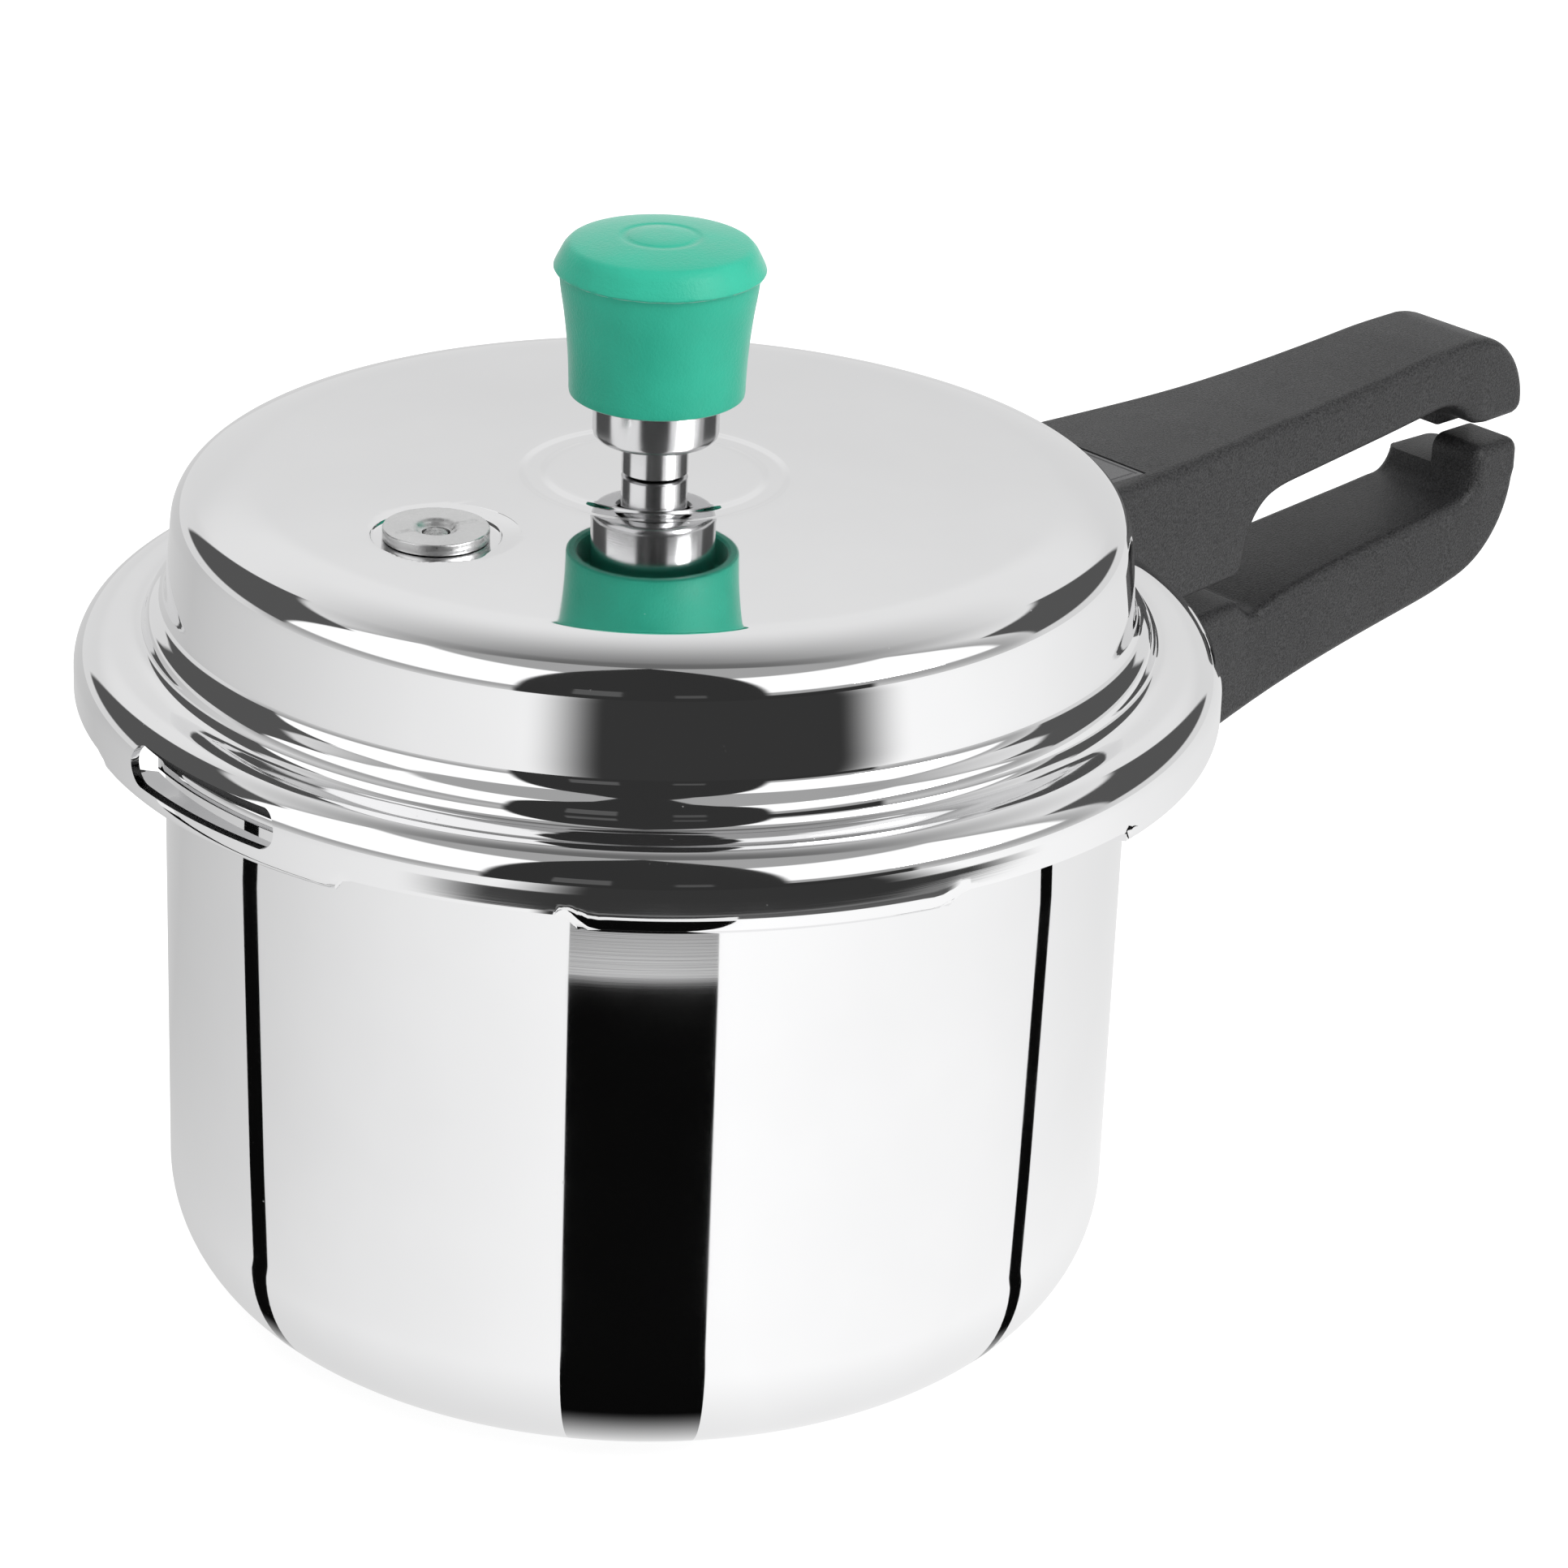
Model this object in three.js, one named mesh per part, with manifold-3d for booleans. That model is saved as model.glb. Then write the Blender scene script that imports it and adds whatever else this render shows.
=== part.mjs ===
// Stovetop pressure cooker with an outer bayonet lid, in millimetres.
// Origin at the centre of the pot's base, +Z up, both handles along +X.
// The lid is closed, its lugs under the pot's lugs, and the weight sits on the vent tube.
import * as THREE from "three";
import { mergeVertices } from "three/addons/utils/BufferGeometryUtils.js";
import Module from "manifold-3d";

const wasm = await Module();
wasm.setup();

// ---- Driving dimensions ----
const GAP = 0.3; // clearance between touching pieces
const SIDES = 60; // facets round the pot and the lid
const LUGS = 6; // bayonet lugs on the pot and on the lid
const LUG_PITCH = (2 * Math.PI) / LUGS;

const POT = { radius: 95, foot: 94.5, corner: 27.8, wall: 2.1, base: 5, top: 133.5 };
const FLANGE = { radius: 101.5, lug: 106, lugHalfAngle: 13, under: 130 };

const LID = { top: 173, crown: 0.84, crownEdge: 77.8, wall: 1.8 };
const KNUCKLE = { r: 85.9, z: 162.6, radius: 7.7, top: 66.4 };
const SHOULDER = { radius: 30, top: 88 };
const RIM = { top: 141, flat: 105.5, skirt: 112.5, bottom: 124.4, hook: 102.6 };
const RIM_ROUND = RIM.skirt - RIM.flat;
const LUG_GAP = { top: 129.5, halfTop: 19, halfBottom: 28 };
const SLOT = { low: 130.2, high: 138.2, length: 43 };

const GASKET = { inner: 97, outer: 107.8, low: 133.8, high: 138.9 };

const VENT = { radius: 6.5, shank: 5, top: 190, bore: 1.6, washer: 9, nutFlats: 14 };
const PLUG = { x: -54, y: 1, radius: 10.15, face: 174.2, shank: 5.5, alloy: 2.4, nutFlats: 15 };
const DIMPLE = { radius: 12.4, floor: 171.8 };
const SEAL = { radius: 8.6, low: 172.1, high: 172.5 };
const WEIGHT = { radius: 12.3, bottom: 180.4, top: 212, bore: 7.3, boreTop: 191.5 };
const CAP = { bottom: 189.5, lip: 214.6, widest: 20.5, mouth: 15, socketBottom: 199, top: 221.4 };
const NEEDLE = { radius: 1.3, head: 2.9, top: 205 };

const HANDLE = { root: 92, tip: 247.8, edge: 2.2, meanHalfWidth: 16 };
const LID_HANDLE = { clear: 0.45, top: 150.2, block: 119.3, counterbore: 126.3, hole: 148.6 };
const POT_HANDLE = { top: 113.4, underside: 70, counterbore: 87.5, hole: 103.6 };
const FAR_POST = { near: 234, far: 246, side: 11.5, low: 130.5, high: 138 };
const FAR_SHELF = { near: 225, far: 260, side: 20, low: 122.6, high: 140 };
const BRACKET_ROOT = 85;
const TONGUE = { end: 141, width: 26, thick: 2.5 };
const LID_TONGUE_Z = 144.2;
const POT_TONGUE_Z = 97;
const SCREWS = { front: 121, rear: 134 };
const SCREW = { shank: 2, head: 4.2, headHeight: 3, lidHead: 123, lidTop: 148, potHead: 84, potTop: 103 };
const INLAY = { near: 98.5, far: 121.5, halfWidth: 17, depth: 1.5, thick: 1.1 };

// ---- Helpers ----
const degrees = (a) => (a * Math.PI) / 180;
const point = (x, y) => new THREE.Vector2(x, y);

// Points on a circular arc, from one angle to another in degrees.
function arc(cx, cy, r, from, to, steps) {
  const points = [];
  for (let i = 0; i <= steps; i++) {
    const a = degrees(from + ((to - from) * i) / steps);
    points.push(point(cx + r * Math.cos(a), cy + r * Math.sin(a)));
  }
  return points;
}

// A closed mesh as a solid that can be joined and cut.
function solid(geometry) {
  const bare = geometry.index ? geometry.toNonIndexed() : geometry.clone();
  bare.deleteAttribute("normal");
  bare.deleteAttribute("uv");
  const merged = mergeVertices(bare, 1e-4);
  return new wasm.Manifold(
    new wasm.Mesh({
      numProp: 3,
      vertProperties: merged.attributes.position.array,
      triVerts: new Uint32Array(merged.index.array),
    }),
  );
}

// A profile of (radius, height) points, anticlockwise in that plane, turned about +Z.
function turned(profile, sides = SIDES) {
  const points = profile.map(([r, z]) => point(r, z));
  if (points[0].x > 0 || points.at(-1).x > 0) points.push(points[0].clone());
  const geometry = new THREE.LatheGeometry(points, sides);
  geometry.rotateX(Math.PI / 2);
  return solid(geometry);
}

function cylinder(radius, low, high, x = 0, y = 0, sides = 24) {
  const geometry = new THREE.CylinderGeometry(radius, radius, high - low, sides);
  geometry.rotateX(Math.PI / 2);
  geometry.translate(x, y, (low + high) / 2);
  return solid(geometry);
}

function box(x0, x1, y0, y1, z0, z1) {
  const geometry = new THREE.BoxGeometry(x1 - x0, y1 - y0, z1 - z0);
  geometry.translate((x0 + x1) / 2, (y0 + y1) / 2, (z0 + z1) / 2);
  return solid(geometry);
}

// An outline of (y, z) points pushed along +X between two stations.
function extrudedAlongX(outline, x0, x1) {
  const geometry = new THREE.ExtrudeGeometry(new THREE.Shape(outline), {
    depth: x1 - x0,
    bevelEnabled: false,
  });
  geometry.rotateX(Math.PI / 2);
  geometry.rotateZ(Math.PI / 2);
  geometry.translate(x0, 0, 0);
  return solid(geometry);
}

// An annular sector between two radii, centred on an angle.
function sector(inner, outer, halfAngle, centre, low, high) {
  const steps = 4;
  const c = (centre * 180) / Math.PI;
  const outline = [
    ...arc(0, 0, outer, c - halfAngle, c + halfAngle, steps),
    ...arc(0, 0, inner, c + halfAngle, c - halfAngle, steps),
  ];
  const geometry = new THREE.ExtrudeGeometry(new THREE.Shape(outline), {
    depth: high - low,
    bevelEnabled: false,
  });
  geometry.translate(0, 0, low);
  return solid(geometry);
}

function turnedBy(body, angle) {
  return body.rotate([0, 0, (angle * 180) / Math.PI]);
}

function hexPrism(flats, low, high, x, y) {
  return cylinder(flats / Math.sqrt(3), low, high, x, y, 6);
}

const cooker = new THREE.Group();
const FINISH = {
  steel: { color: 0xd8d8d8, roughness: 0.12, metalness: 1 },
  bracketSteel: { color: 0x9a9a98, roughness: 0.35, metalness: 1 },
  phenolic: { color: 0x2b2b2b, roughness: 0.55, metalness: 0 },
  rubber: { color: 0x1c1c1c, roughness: 0.8, metalness: 0 },
  aluminium: { color: 0xc9c9c9, roughness: 0.35, metalness: 1 },
  brass: { color: 0xb79a5a, roughness: 0.4, metalness: 1 },
  silicone: { color: 0x20aa82, roughness: 0.5, metalness: 0 },
  inlay: { color: 0x555555, roughness: 0.3, metalness: 0 },
};

function add(name, body, finish) {
  const made = body.getMesh();
  const positions = new Float32Array(made.numVert * 3);
  for (let i = 0; i < made.numVert; i++) {
    const at = i * made.numProp;
    positions.set(made.vertProperties.subarray(at, at + 3), i * 3);
  }
  const geometry = new THREE.BufferGeometry();
  geometry.setAttribute("position", new THREE.BufferAttribute(positions, 3));
  geometry.setIndex(new THREE.BufferAttribute(new Uint32Array(made.triVerts), 1));
  geometry.computeVertexNormals();
  const mesh = new THREE.Mesh(geometry, new THREE.MeshStandardMaterial(FINISH[finish]));
  mesh.name = name;
  cooker.add(mesh);
}

// ---- Pot body: drawn shell, rounded base, flange with six lugs ----
function potBody() {
  const inside = POT.radius - POT.wall;
  const insideFoot = POT.foot - POT.wall;
  const cornerCentre = POT.foot - POT.corner;
  const outerCorner = arc(cornerCentre, POT.corner, POT.corner, -90, 0, 6);
  const innerCorner = arc(cornerCentre, POT.corner, POT.corner - POT.wall, 0, -76, 5);
  const shell = turned([
    [0, 0],
    ...outerCorner.map((p) => [p.x, p.y]),
    [POT.radius, FLANGE.under - 3],
    [POT.radius + 1.5, FLANGE.under],
    [FLANGE.radius, FLANGE.under],
    [FLANGE.radius, POT.top],
    [POT.radius, POT.top],
    [inside, POT.top - 2],
    ...innerCorner.map((p) => [Math.min(p.x, insideFoot), p.y]),
    [60, POT.base],
    [0, POT.base],
  ]);
  let body = shell;
  for (let i = 0; i < LUGS; i++) {
    const lug = sector(
      POT.radius + 3,
      FLANGE.lug,
      FLANGE.lugHalfAngle,
      i * LUG_PITCH,
      FLANGE.under,
      POT.top,
    );
    body = body.add(lug);
  }
  return body;
}

// ---- Lid: crowned dome, wall, step, flat rim, skirt with six inward lugs ----
// The broad arc between the crowned top and the knuckle, tangent to the knuckle.
function shoulderArc(grow, steps) {
  const { r, z, radius, top } = KNUCKLE;
  const back = radius - SHOULDER.radius;
  const centreR = r + back * Math.cos(degrees(top));
  const centreZ = z + back * Math.sin(degrees(top));
  return arc(centreR, centreZ, SHOULDER.radius + grow, SHOULDER.top, top, steps);
}

// The lid's outer profile from the shoulder to the skirt's hook, grown by a clearance.
function lidOutside(grow = 0) {
  const knuckle = arc(KNUCKLE.r, KNUCKLE.z, KNUCKLE.radius + grow, KNUCKLE.top, 0, 4);
  const rimOuter = arc(RIM.flat, RIM.top - RIM_ROUND, RIM_ROUND + grow, 84, 0, 4);
  return [
    ...shoulderArc(grow, 3).map((p) => [p.x, p.y]),
    ...knuckle.slice(1).map((p) => [p.x, p.y]),
    [94.4 + grow, 153],
    [94.6 + grow, 149.6],
    [95.6 + grow, 147],
    [97.9 + grow, 145.2],
    [98.8 + grow, 142.6],
    [100.8 + grow, RIM.top + grow],
    ...rimOuter.map((p) => [p.x, p.y]),
    [112.5 + grow, 128.6],
    [111.7 + grow, 126.7],
    [110 + grow, 125.5 - grow],
    [106.6, RIM.bottom - grow],
  ];
}

function lidShell() {
  const crownAt = (r) => LID.top - LID.crown * (r / LID.crownEdge) ** 2;
  const t = LID.wall;
  const innerShoulder = shoulderArc(-t, 2);
  const innerKnuckle = arc(KNUCKLE.r, KNUCKLE.z, KNUCKLE.radius - t, KNUCKLE.top, 0, 3);
  const innerRim = arc(RIM.flat, RIM.top - RIM_ROUND, RIM_ROUND - t, 0, 84, 3);
  const outside = lidOutside().reverse();
  let body = turned([
    ...outside,
    [60, crownAt(60)],
    [30, crownAt(30)],
    [0, LID.top],
    [0, LID.top - t],
    [30, crownAt(30) - t],
    [60, crownAt(60) - t],
    ...innerShoulder.map((p) => [p.x, p.y]),
    ...innerKnuckle.slice(1).map((p) => [p.x, p.y]),
    [94.4 - t, 153],
    [94.6 - t, 149],
    [94.2, 145.6],
    [96.5, 143.8],
    [97.3, 141.2],
    [99, RIM.top - t],
    ...innerRim.reverse().map((p) => [p.x, p.y]),
    [112.5 - t, 129.2],
    [109.8, 127.8],
    [108.2, 127],
    [RIM.hook, 126.2],
    [RIM.hook, RIM.bottom],
  ]);
  const half = LUG_GAP.halfTop;
  const foot = LUG_GAP.halfBottom;
  const edge = [
    point(half, LUG_GAP.top),
    point(half + 2.5, LUG_GAP.top - 0.6),
    point(half + 5.5, LUG_GAP.top - 3.2),
    point(foot - 0.8, LUG_GAP.top - 5.4),
    point(foot + 2, LUG_GAP.top - 7),
    point(foot + 3, 120),
  ];
  const mirrored = edge.map((p) => point(-p.x, p.y)).reverse();
  const gapCutter = extrudedAlongX([...mirrored, ...edge], 98, 118);
  for (let i = 0; i < LUGS; i++) {
    body = body.subtract(turnedBy(gapCutter, (i + 0.5) * LUG_PITCH));
  }
  const slotMiddle = (SLOT.low + SLOT.high) / 2;
  const slotRound = (SLOT.high - SLOT.low) / 2;
  const slotStraight = SLOT.length / 2 - slotRound;
  const slotOutline = [
    ...arc(slotStraight, slotMiddle, slotRound, -90, 90, 6),
    ...arc(-slotStraight, slotMiddle, slotRound, 90, 270, 6),
  ];
  body = body.subtract(extrudedAlongX(slotOutline, -118, -100));
  body = body.subtract(cylinder(VENT.shank + GAP, 160, 180));
  body = body.subtract(cylinder(DIMPLE.radius, DIMPLE.floor, 180, PLUG.x, PLUG.y));
  return body.subtract(cylinder(PLUG.shank + GAP, 160, 180, PLUG.x, PLUG.y));
}

function gasket() {
  const { inner, outer, low, high } = GASKET;
  return turned([
    [inner, low],
    [outer - 1, low],
    [outer, low + 1],
    [outer, low + 2.2],
    [RIM.flat, high],
    [inner + 0.5, high],
    [inner, high - 0.5],
  ]);
}

// ---- Vent tube, its seal and its nut ----
const LID_UNDER = LID.top - LID.wall;

function ventTube() {
  const top = VENT.top;
  return turned(
    [
      [VENT.bore, 160],
      [VENT.shank, 160],
      [VENT.shank, LID.top + GAP],
      [VENT.radius, LID.top + GAP],
      [VENT.radius, top - 1],
      [VENT.radius - 1.2, top],
      [3.4, top],
      [VENT.bore, top - 3],
    ],
    24,
  );
}

function washer(inner, outer, low, high, x = 0, y = 0) {
  return cylinder(outer, low, high, x, y).subtract(cylinder(inner, low - 1, high + 1, x, y));
}

function nut(flats, inner, low, high, x = 0, y = 0) {
  return hexPrism(flats, low, high, x, y).subtract(cylinder(inner, low - 1, high + 1, x, y));
}

// ---- Safety plug: flanged aluminium body with a fusible core ----
function plugBody() {
  const flangeLow = SEAL.high + GAP;
  const disc = cylinder(PLUG.radius, flangeLow, PLUG.face, PLUG.x, PLUG.y, 32);
  const shank = cylinder(PLUG.shank, 160.5, flangeLow + 0.2, PLUG.x, PLUG.y);
  const hole = cylinder(PLUG.alloy + GAP, 155, 180, PLUG.x, PLUG.y, 16);
  return disc.add(shank).subtract(hole);
}

// ---- Weight: steel body, moulded cap and needle ----
function weightBody() {
  const { radius, bottom, top, bore, boreTop } = WEIGHT;
  return turned(
    [
      [bore, bottom],
      [radius - 1.2, bottom],
      [radius - 0.3, bottom + 0.5],
      [radius, bottom + 1.4],
      [radius, top - 1],
      [radius - 1, top],
      [0, top],
      [0, NEEDLE.top + GAP],
      [NEEDLE.radius + GAP, NEEDLE.top + GAP],
      [NEEDLE.radius + GAP, boreTop + 4.5],
      [NEEDLE.head + GAP, boreTop + 4],
      [NEEDLE.head + GAP, boreTop + 0.6],
      [bore, boreTop],
    ],
    30,
  );
}

function weightCap() {
  const { bottom, lip, widest, mouth, socketBottom, top } = CAP;
  const socket = WEIGHT.radius + GAP;
  return turned(
    [
      [mouth, bottom],
      [17.1, bottom],
      [17.2, bottom + 4],
      [17.8, bottom + 11],
      [18.8, bottom + 19],
      [19.4, lip - 0.6],
      [widest - 0.1, lip - 0.3],
      [widest, lip + 0.3],
      [18.4, top - 2],
      [12, top - 0.7],
      [6, top - 0.2],
      [0, top],
      [0, WEIGHT.top + GAP],
      [socket, WEIGHT.top + GAP],
      [socket, socketBottom],
      [mouth, socketBottom - 3],
    ],
    36,
  );
}

// The needle hangs in the weight, and its cone closes the vent's bore.
function weightNeedle() {
  const seat = VENT.top + GAP;
  return turned(
    [
      [0, seat - 2],
      [1, seat - 1.2],
      [2.6, seat + 0.6],
      [NEEDLE.head, seat + 1.4],
      [NEEDLE.head, seat + 3.4],
      [NEEDLE.radius, seat + 4.2],
      [NEEDLE.radius, NEEDLE.top],
      [0, NEEDLE.top],
    ],
    16,
  );
}

// ---- Handles: a side outline in X and Z, given its width across Y ----
const WIDTHS = [
  [92, 23.5],
  [122, 20.5],
  [161, 16.3],
  [200, 14.4],
  [235, 13.3],
  [250, 12.6],
];

function halfWidthAt(x) {
  for (let i = 1; i < WIDTHS.length; i++) {
    const [x0, w0] = WIDTHS[i - 1];
    const [x1, w1] = WIDTHS[i];
    if (x <= x1) return w0 + ((w1 - w0) * (x - x0)) / (x1 - x0);
  }
  return WIDTHS.at(-1)[1];
}

function handleBlock(outline) {
  const edge = HANDLE.edge;
  const rounding = edge / HANDLE.meanHalfWidth;
  const geometry = new THREE.ExtrudeGeometry(new THREE.Shape(outline), {
    depth: 2 * (1 - rounding),
    bevelThickness: rounding,
    bevelSize: edge,
    bevelOffset: -edge,
    bevelSegments: 2,
  });
  geometry.rotateX(Math.PI / 2);
  geometry.translate(0, 1 - rounding, 0);
  const at = geometry.attributes.position;
  for (let i = 0; i < at.count; i++) {
    at.setY(i, at.getY(i) * halfWidthAt(at.getX(i)));
  }
  return solid(geometry);
}

function lidHandleOutline() {
  return [
    point(HANDLE.root, LID_HANDLE.block),
    point(150, LID_HANDLE.block),
    ...arc(151, 122.3, 3, -60, -10, 2),
    point(155.2, 127),
    point(157, 131.4),
    point(160.5, 134.9),
    point(166, 136.2),
    point(183, 137.6),
    point(200, 139.2),
    point(212, 140.6),
    point(220, 141.3),
    point(225.5, 140),
    point(229.5, 136.6),
    point(233.5, 134.5),
    point(245, 134.5),
    ...arc(245.2, 137, 2.6, -60, 0, 2),
    ...arc(229.8, 137.2, 18, 8, 88, 6),
    point(205, 153.6),
    point(178, 151.6),
    point(150, 150.6),
    point(120, LID_HANDLE.top),
    point(HANDLE.root, LID_HANDLE.top),
  ];
}

// The space that the lid takes up, grown by a clearance: skirt, rim and dome wall.
function lidRoom(clear) {
  return turned([
    [60, 110],
    [RIM.skirt + clear, 110],
    ...lidOutside(clear).slice(0, -4).reverse(),
    [60, LID.top - 2],
  ]);
}

function lidHandle() {
  let body = handleBlock(lidHandleOutline());
  const post = FAR_POST;
  body = body.add(box(post.near, post.far, 0, post.side, post.low, post.high));
  body = body.subtract(lidRoom(LID_HANDLE.clear));
  const half = TONGUE.width / 2 + GAP;
  const slotHigh = LID_TONGUE_Z + TONGUE.thick + GAP;
  const slotLow = LID_TONGUE_Z - GAP;
  body = body.subtract(box(BRACKET_ROOT, TONGUE.end + GAP, -half, half, slotLow, slotHigh));
  body = body.subtract(box(BRACKET_ROOT, 99.2, -half, half, slotLow, LID.top));
  for (const x of Object.values(SCREWS)) {
    body = body.subtract(cylinder(SCREW.head + GAP, 110, LID_HANDLE.counterbore, x, 0, 16));
    body = body.subtract(cylinder(SCREW.shank + GAP, 110, LID_HANDLE.hole, x, 0, 16));
  }
  const { near, far, halfWidth, depth } = INLAY;
  return body.subtract(box(near, far, -halfWidth, halfWidth, LID_HANDLE.top - depth, LID.top));
}

function potHandleOutline() {
  return [
    point(HANDLE.root, 75.5),
    point(120, 79.6),
    point(150, 85.6),
    point(180, 91.4),
    point(209, 95.4),
    point(224, 98.2),
    ...arc(224, 121.6, 23.8, -70, -8, 6),
    point(HANDLE.tip, 129),
    point(232.6, 129),
    point(232.6, 124),
    ...arc(227.4, 123.2, 5.2, 0, -80, 3),
    point(207, 116),
    point(187, 114.3),
    point(170, 111.8),
    point(161, 109.4),
    point(157.4, 109.4),
    point(155, 111.6),
    point(153, POT_HANDLE.top),
    point(HANDLE.root, POT_HANDLE.top),
  ];
}

function potHandle() {
  let body = handleBlock(potHandleOutline());
  const shelf = FAR_SHELF;
  body = body.subtract(box(shelf.near, shelf.far, 0, shelf.side, shelf.low, shelf.high));
  body = body.subtract(cylinder(POT.radius + 0.5, 60, 130, 0, 0, SIDES));
  const half = TONGUE.width / 2 + GAP;
  const slotLow = POT_TONGUE_Z - GAP;
  const slotHigh = POT_TONGUE_Z + TONGUE.thick + GAP;
  body = body.subtract(box(BRACKET_ROOT, TONGUE.end + GAP, -half, half, slotLow, slotHigh));
  body = body.subtract(box(BRACKET_ROOT, 98.6, -half, half, 85.5, 108.5));
  const { underside, counterbore, hole } = POT_HANDLE;
  for (const x of Object.values(SCREWS)) {
    body = body.subtract(cylinder(SCREW.head + GAP, underside, counterbore, x, 0, 16));
    body = body.subtract(cylinder(SCREW.shank + GAP, underside, hole, x, 0, 16));
  }
  return body;
}

// A saddle that follows a round wall, with a flat tongue pointing out of it.
function bracket(wallRadius, low, high, tongueZ) {
  const ring = turned([
    [wallRadius + GAP, low],
    [wallRadius + GAP + 2, low],
    [wallRadius + GAP + 2, high],
    [wallRadius + GAP, high],
  ]);
  const saddle = ring.intersect(box(60, 130, -TONGUE.width / 2, TONGUE.width / 2, low - 1, high + 1));
  let tongue = box(
    wallRadius + 1,
    TONGUE.end,
    -TONGUE.width / 2,
    TONGUE.width / 2,
    tongueZ,
    tongueZ + TONGUE.thick,
  );
  for (const x of Object.values(SCREWS)) {
    tongue = tongue.subtract(cylinder(SCREW.shank + GAP, tongueZ - 1, tongueZ + 5, x, 0, 16));
  }
  return saddle.add(tongue);
}

function screw(x, headLow, top) {
  const head = cylinder(SCREW.head, headLow, headLow + SCREW.headHeight, x, 0, 16);
  const shank = cylinder(SCREW.shank, headLow + 1, top, x, 0, 16);
  return head.add(shank);
}

add("pot_body", potBody(), "steel");
add("pot_handle_bracket", bracket(POT.radius, 86, 108, POT_TONGUE_Z), "bracketSteel");
add("pot_handle", potHandle(), "phenolic");
add("lid_shell", lidShell(), "steel");
add("lid_gasket", gasket(), "rubber");
const lidBracket = bracket(96.4, LID_TONGUE_Z, 149.6, LID_TONGUE_Z).subtract(lidRoom(GAP));
add("lid_handle_bracket", lidBracket, "bracketSteel");
add("lid_handle", lidHandle(), "phenolic");
for (const [place, x] of Object.entries(SCREWS)) {
  add(`lid_handle_screw_${place}`, screw(x, SCREW.lidHead, SCREW.lidTop), "bracketSteel");
  add(`pot_handle_screw_${place}`, screw(x, SCREW.potHead, SCREW.potTop), "bracketSteel");
}

const { near, far, halfWidth, depth, thick } = INLAY;
const plate = box(near + GAP, far - GAP, GAP - halfWidth, halfWidth - GAP, 0, thick);
add("lid_handle_inlay", plate.translate([0, 0, LID_HANDLE.top - depth + GAP]), "inlay");

const washerLow = LID_UNDER - 1.9;
add("vent_tube", ventTube(), "steel");
add("vent_seal", washer(VENT.shank + GAP, VENT.washer, washerLow, LID_UNDER - GAP), "rubber");
add("vent_nut", nut(VENT.nutFlats, VENT.shank + GAP, washerLow - 5, washerLow - GAP), "brass");

const { x: plugX, y: plugY, shank: plugShank } = PLUG;
const plugUnder = LID_UNDER - 0.9;
add("plug_body", plugBody(), "aluminium");
add("plug_alloy", cylinder(PLUG.alloy, 161, PLUG.face - 0.3, plugX, plugY, 16), "aluminium");
add("plug_seal", washer(plugShank + GAP, SEAL.radius, SEAL.low, SEAL.high, plugX, plugY), "rubber");
add(
  "plug_nut",
  nut(PLUG.nutFlats, plugShank + GAP, plugUnder - 4.5, plugUnder, plugX, plugY),
  "aluminium",
);

add("weight_body", weightBody(), "steel");
add("weight_cap", weightCap(), "silicone");
add("weight_needle", weightNeedle(), "steel");

export default cooker;
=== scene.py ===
import math

import bmesh
import bpy
from mathutils import Matrix, Vector, noise


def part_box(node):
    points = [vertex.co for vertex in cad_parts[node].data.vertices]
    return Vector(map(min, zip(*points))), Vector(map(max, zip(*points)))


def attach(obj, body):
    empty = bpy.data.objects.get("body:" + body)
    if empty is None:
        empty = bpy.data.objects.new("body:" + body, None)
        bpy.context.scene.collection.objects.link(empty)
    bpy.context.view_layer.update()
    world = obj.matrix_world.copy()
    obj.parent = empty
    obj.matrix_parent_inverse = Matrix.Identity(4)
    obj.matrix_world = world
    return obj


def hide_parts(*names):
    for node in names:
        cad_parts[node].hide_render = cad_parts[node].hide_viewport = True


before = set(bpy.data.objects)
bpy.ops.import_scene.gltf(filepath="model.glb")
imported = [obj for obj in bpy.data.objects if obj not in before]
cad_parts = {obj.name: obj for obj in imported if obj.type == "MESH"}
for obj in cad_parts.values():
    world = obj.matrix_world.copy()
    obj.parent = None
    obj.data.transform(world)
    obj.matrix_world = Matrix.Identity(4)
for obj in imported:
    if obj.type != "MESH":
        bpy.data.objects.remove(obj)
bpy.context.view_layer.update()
MM = 0.001

# ---- Camera ----
# A long lens a little over a metre away, looking down on the lid from the side of the
# handles, with a slight roll.
CAMERA_PLACE = Vector((-0.70231, -0.78000, 0.56603))
CAMERA_HEADING, CAMERA_DIP, CAMERA_ROLL = -43.4932, 23.5791, 2.1650
camera_data = bpy.data.cameras.new("studio_camera")
camera_data.lens = 132.43
camera_data.sensor_width = 36.0
camera_data.clip_start = 0.05
camera_data.clip_end = 50.0
camera = bpy.data.objects.new("studio_camera", camera_data)
camera.matrix_world = (
    Matrix.Translation(CAMERA_PLACE)
    @ Matrix.Rotation(math.radians(CAMERA_HEADING), 4, "Z")
    @ Matrix.Rotation(math.radians(90.0 - CAMERA_DIP), 4, "X")
    @ Matrix.Rotation(math.radians(CAMERA_ROLL), 4, "Z")
)
bpy.context.scene.collection.objects.link(camera)
bpy.context.scene.camera = camera
bpy.context.scene.view_settings.view_transform = "Standard"

# ---- Studio: table, light, and what polished metal sees ----
# A white table under an even white sky, with a broad sun overhead and one window light.
# Polished metal mirrors painted reflections instead: a painted room, a painted table and three
# black strips, none of which the camera sees. FRONT is the bearing of the camera's side.
FRONT = math.radians(-132.0)


def from_front(bearing, distance, height):
    """A point on a bearing, in degrees from the camera's side, anticlockwise from above."""
    turn = FRONT + math.radians(bearing)
    return Vector((distance * math.cos(turn), distance * math.sin(turn), height))


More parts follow.
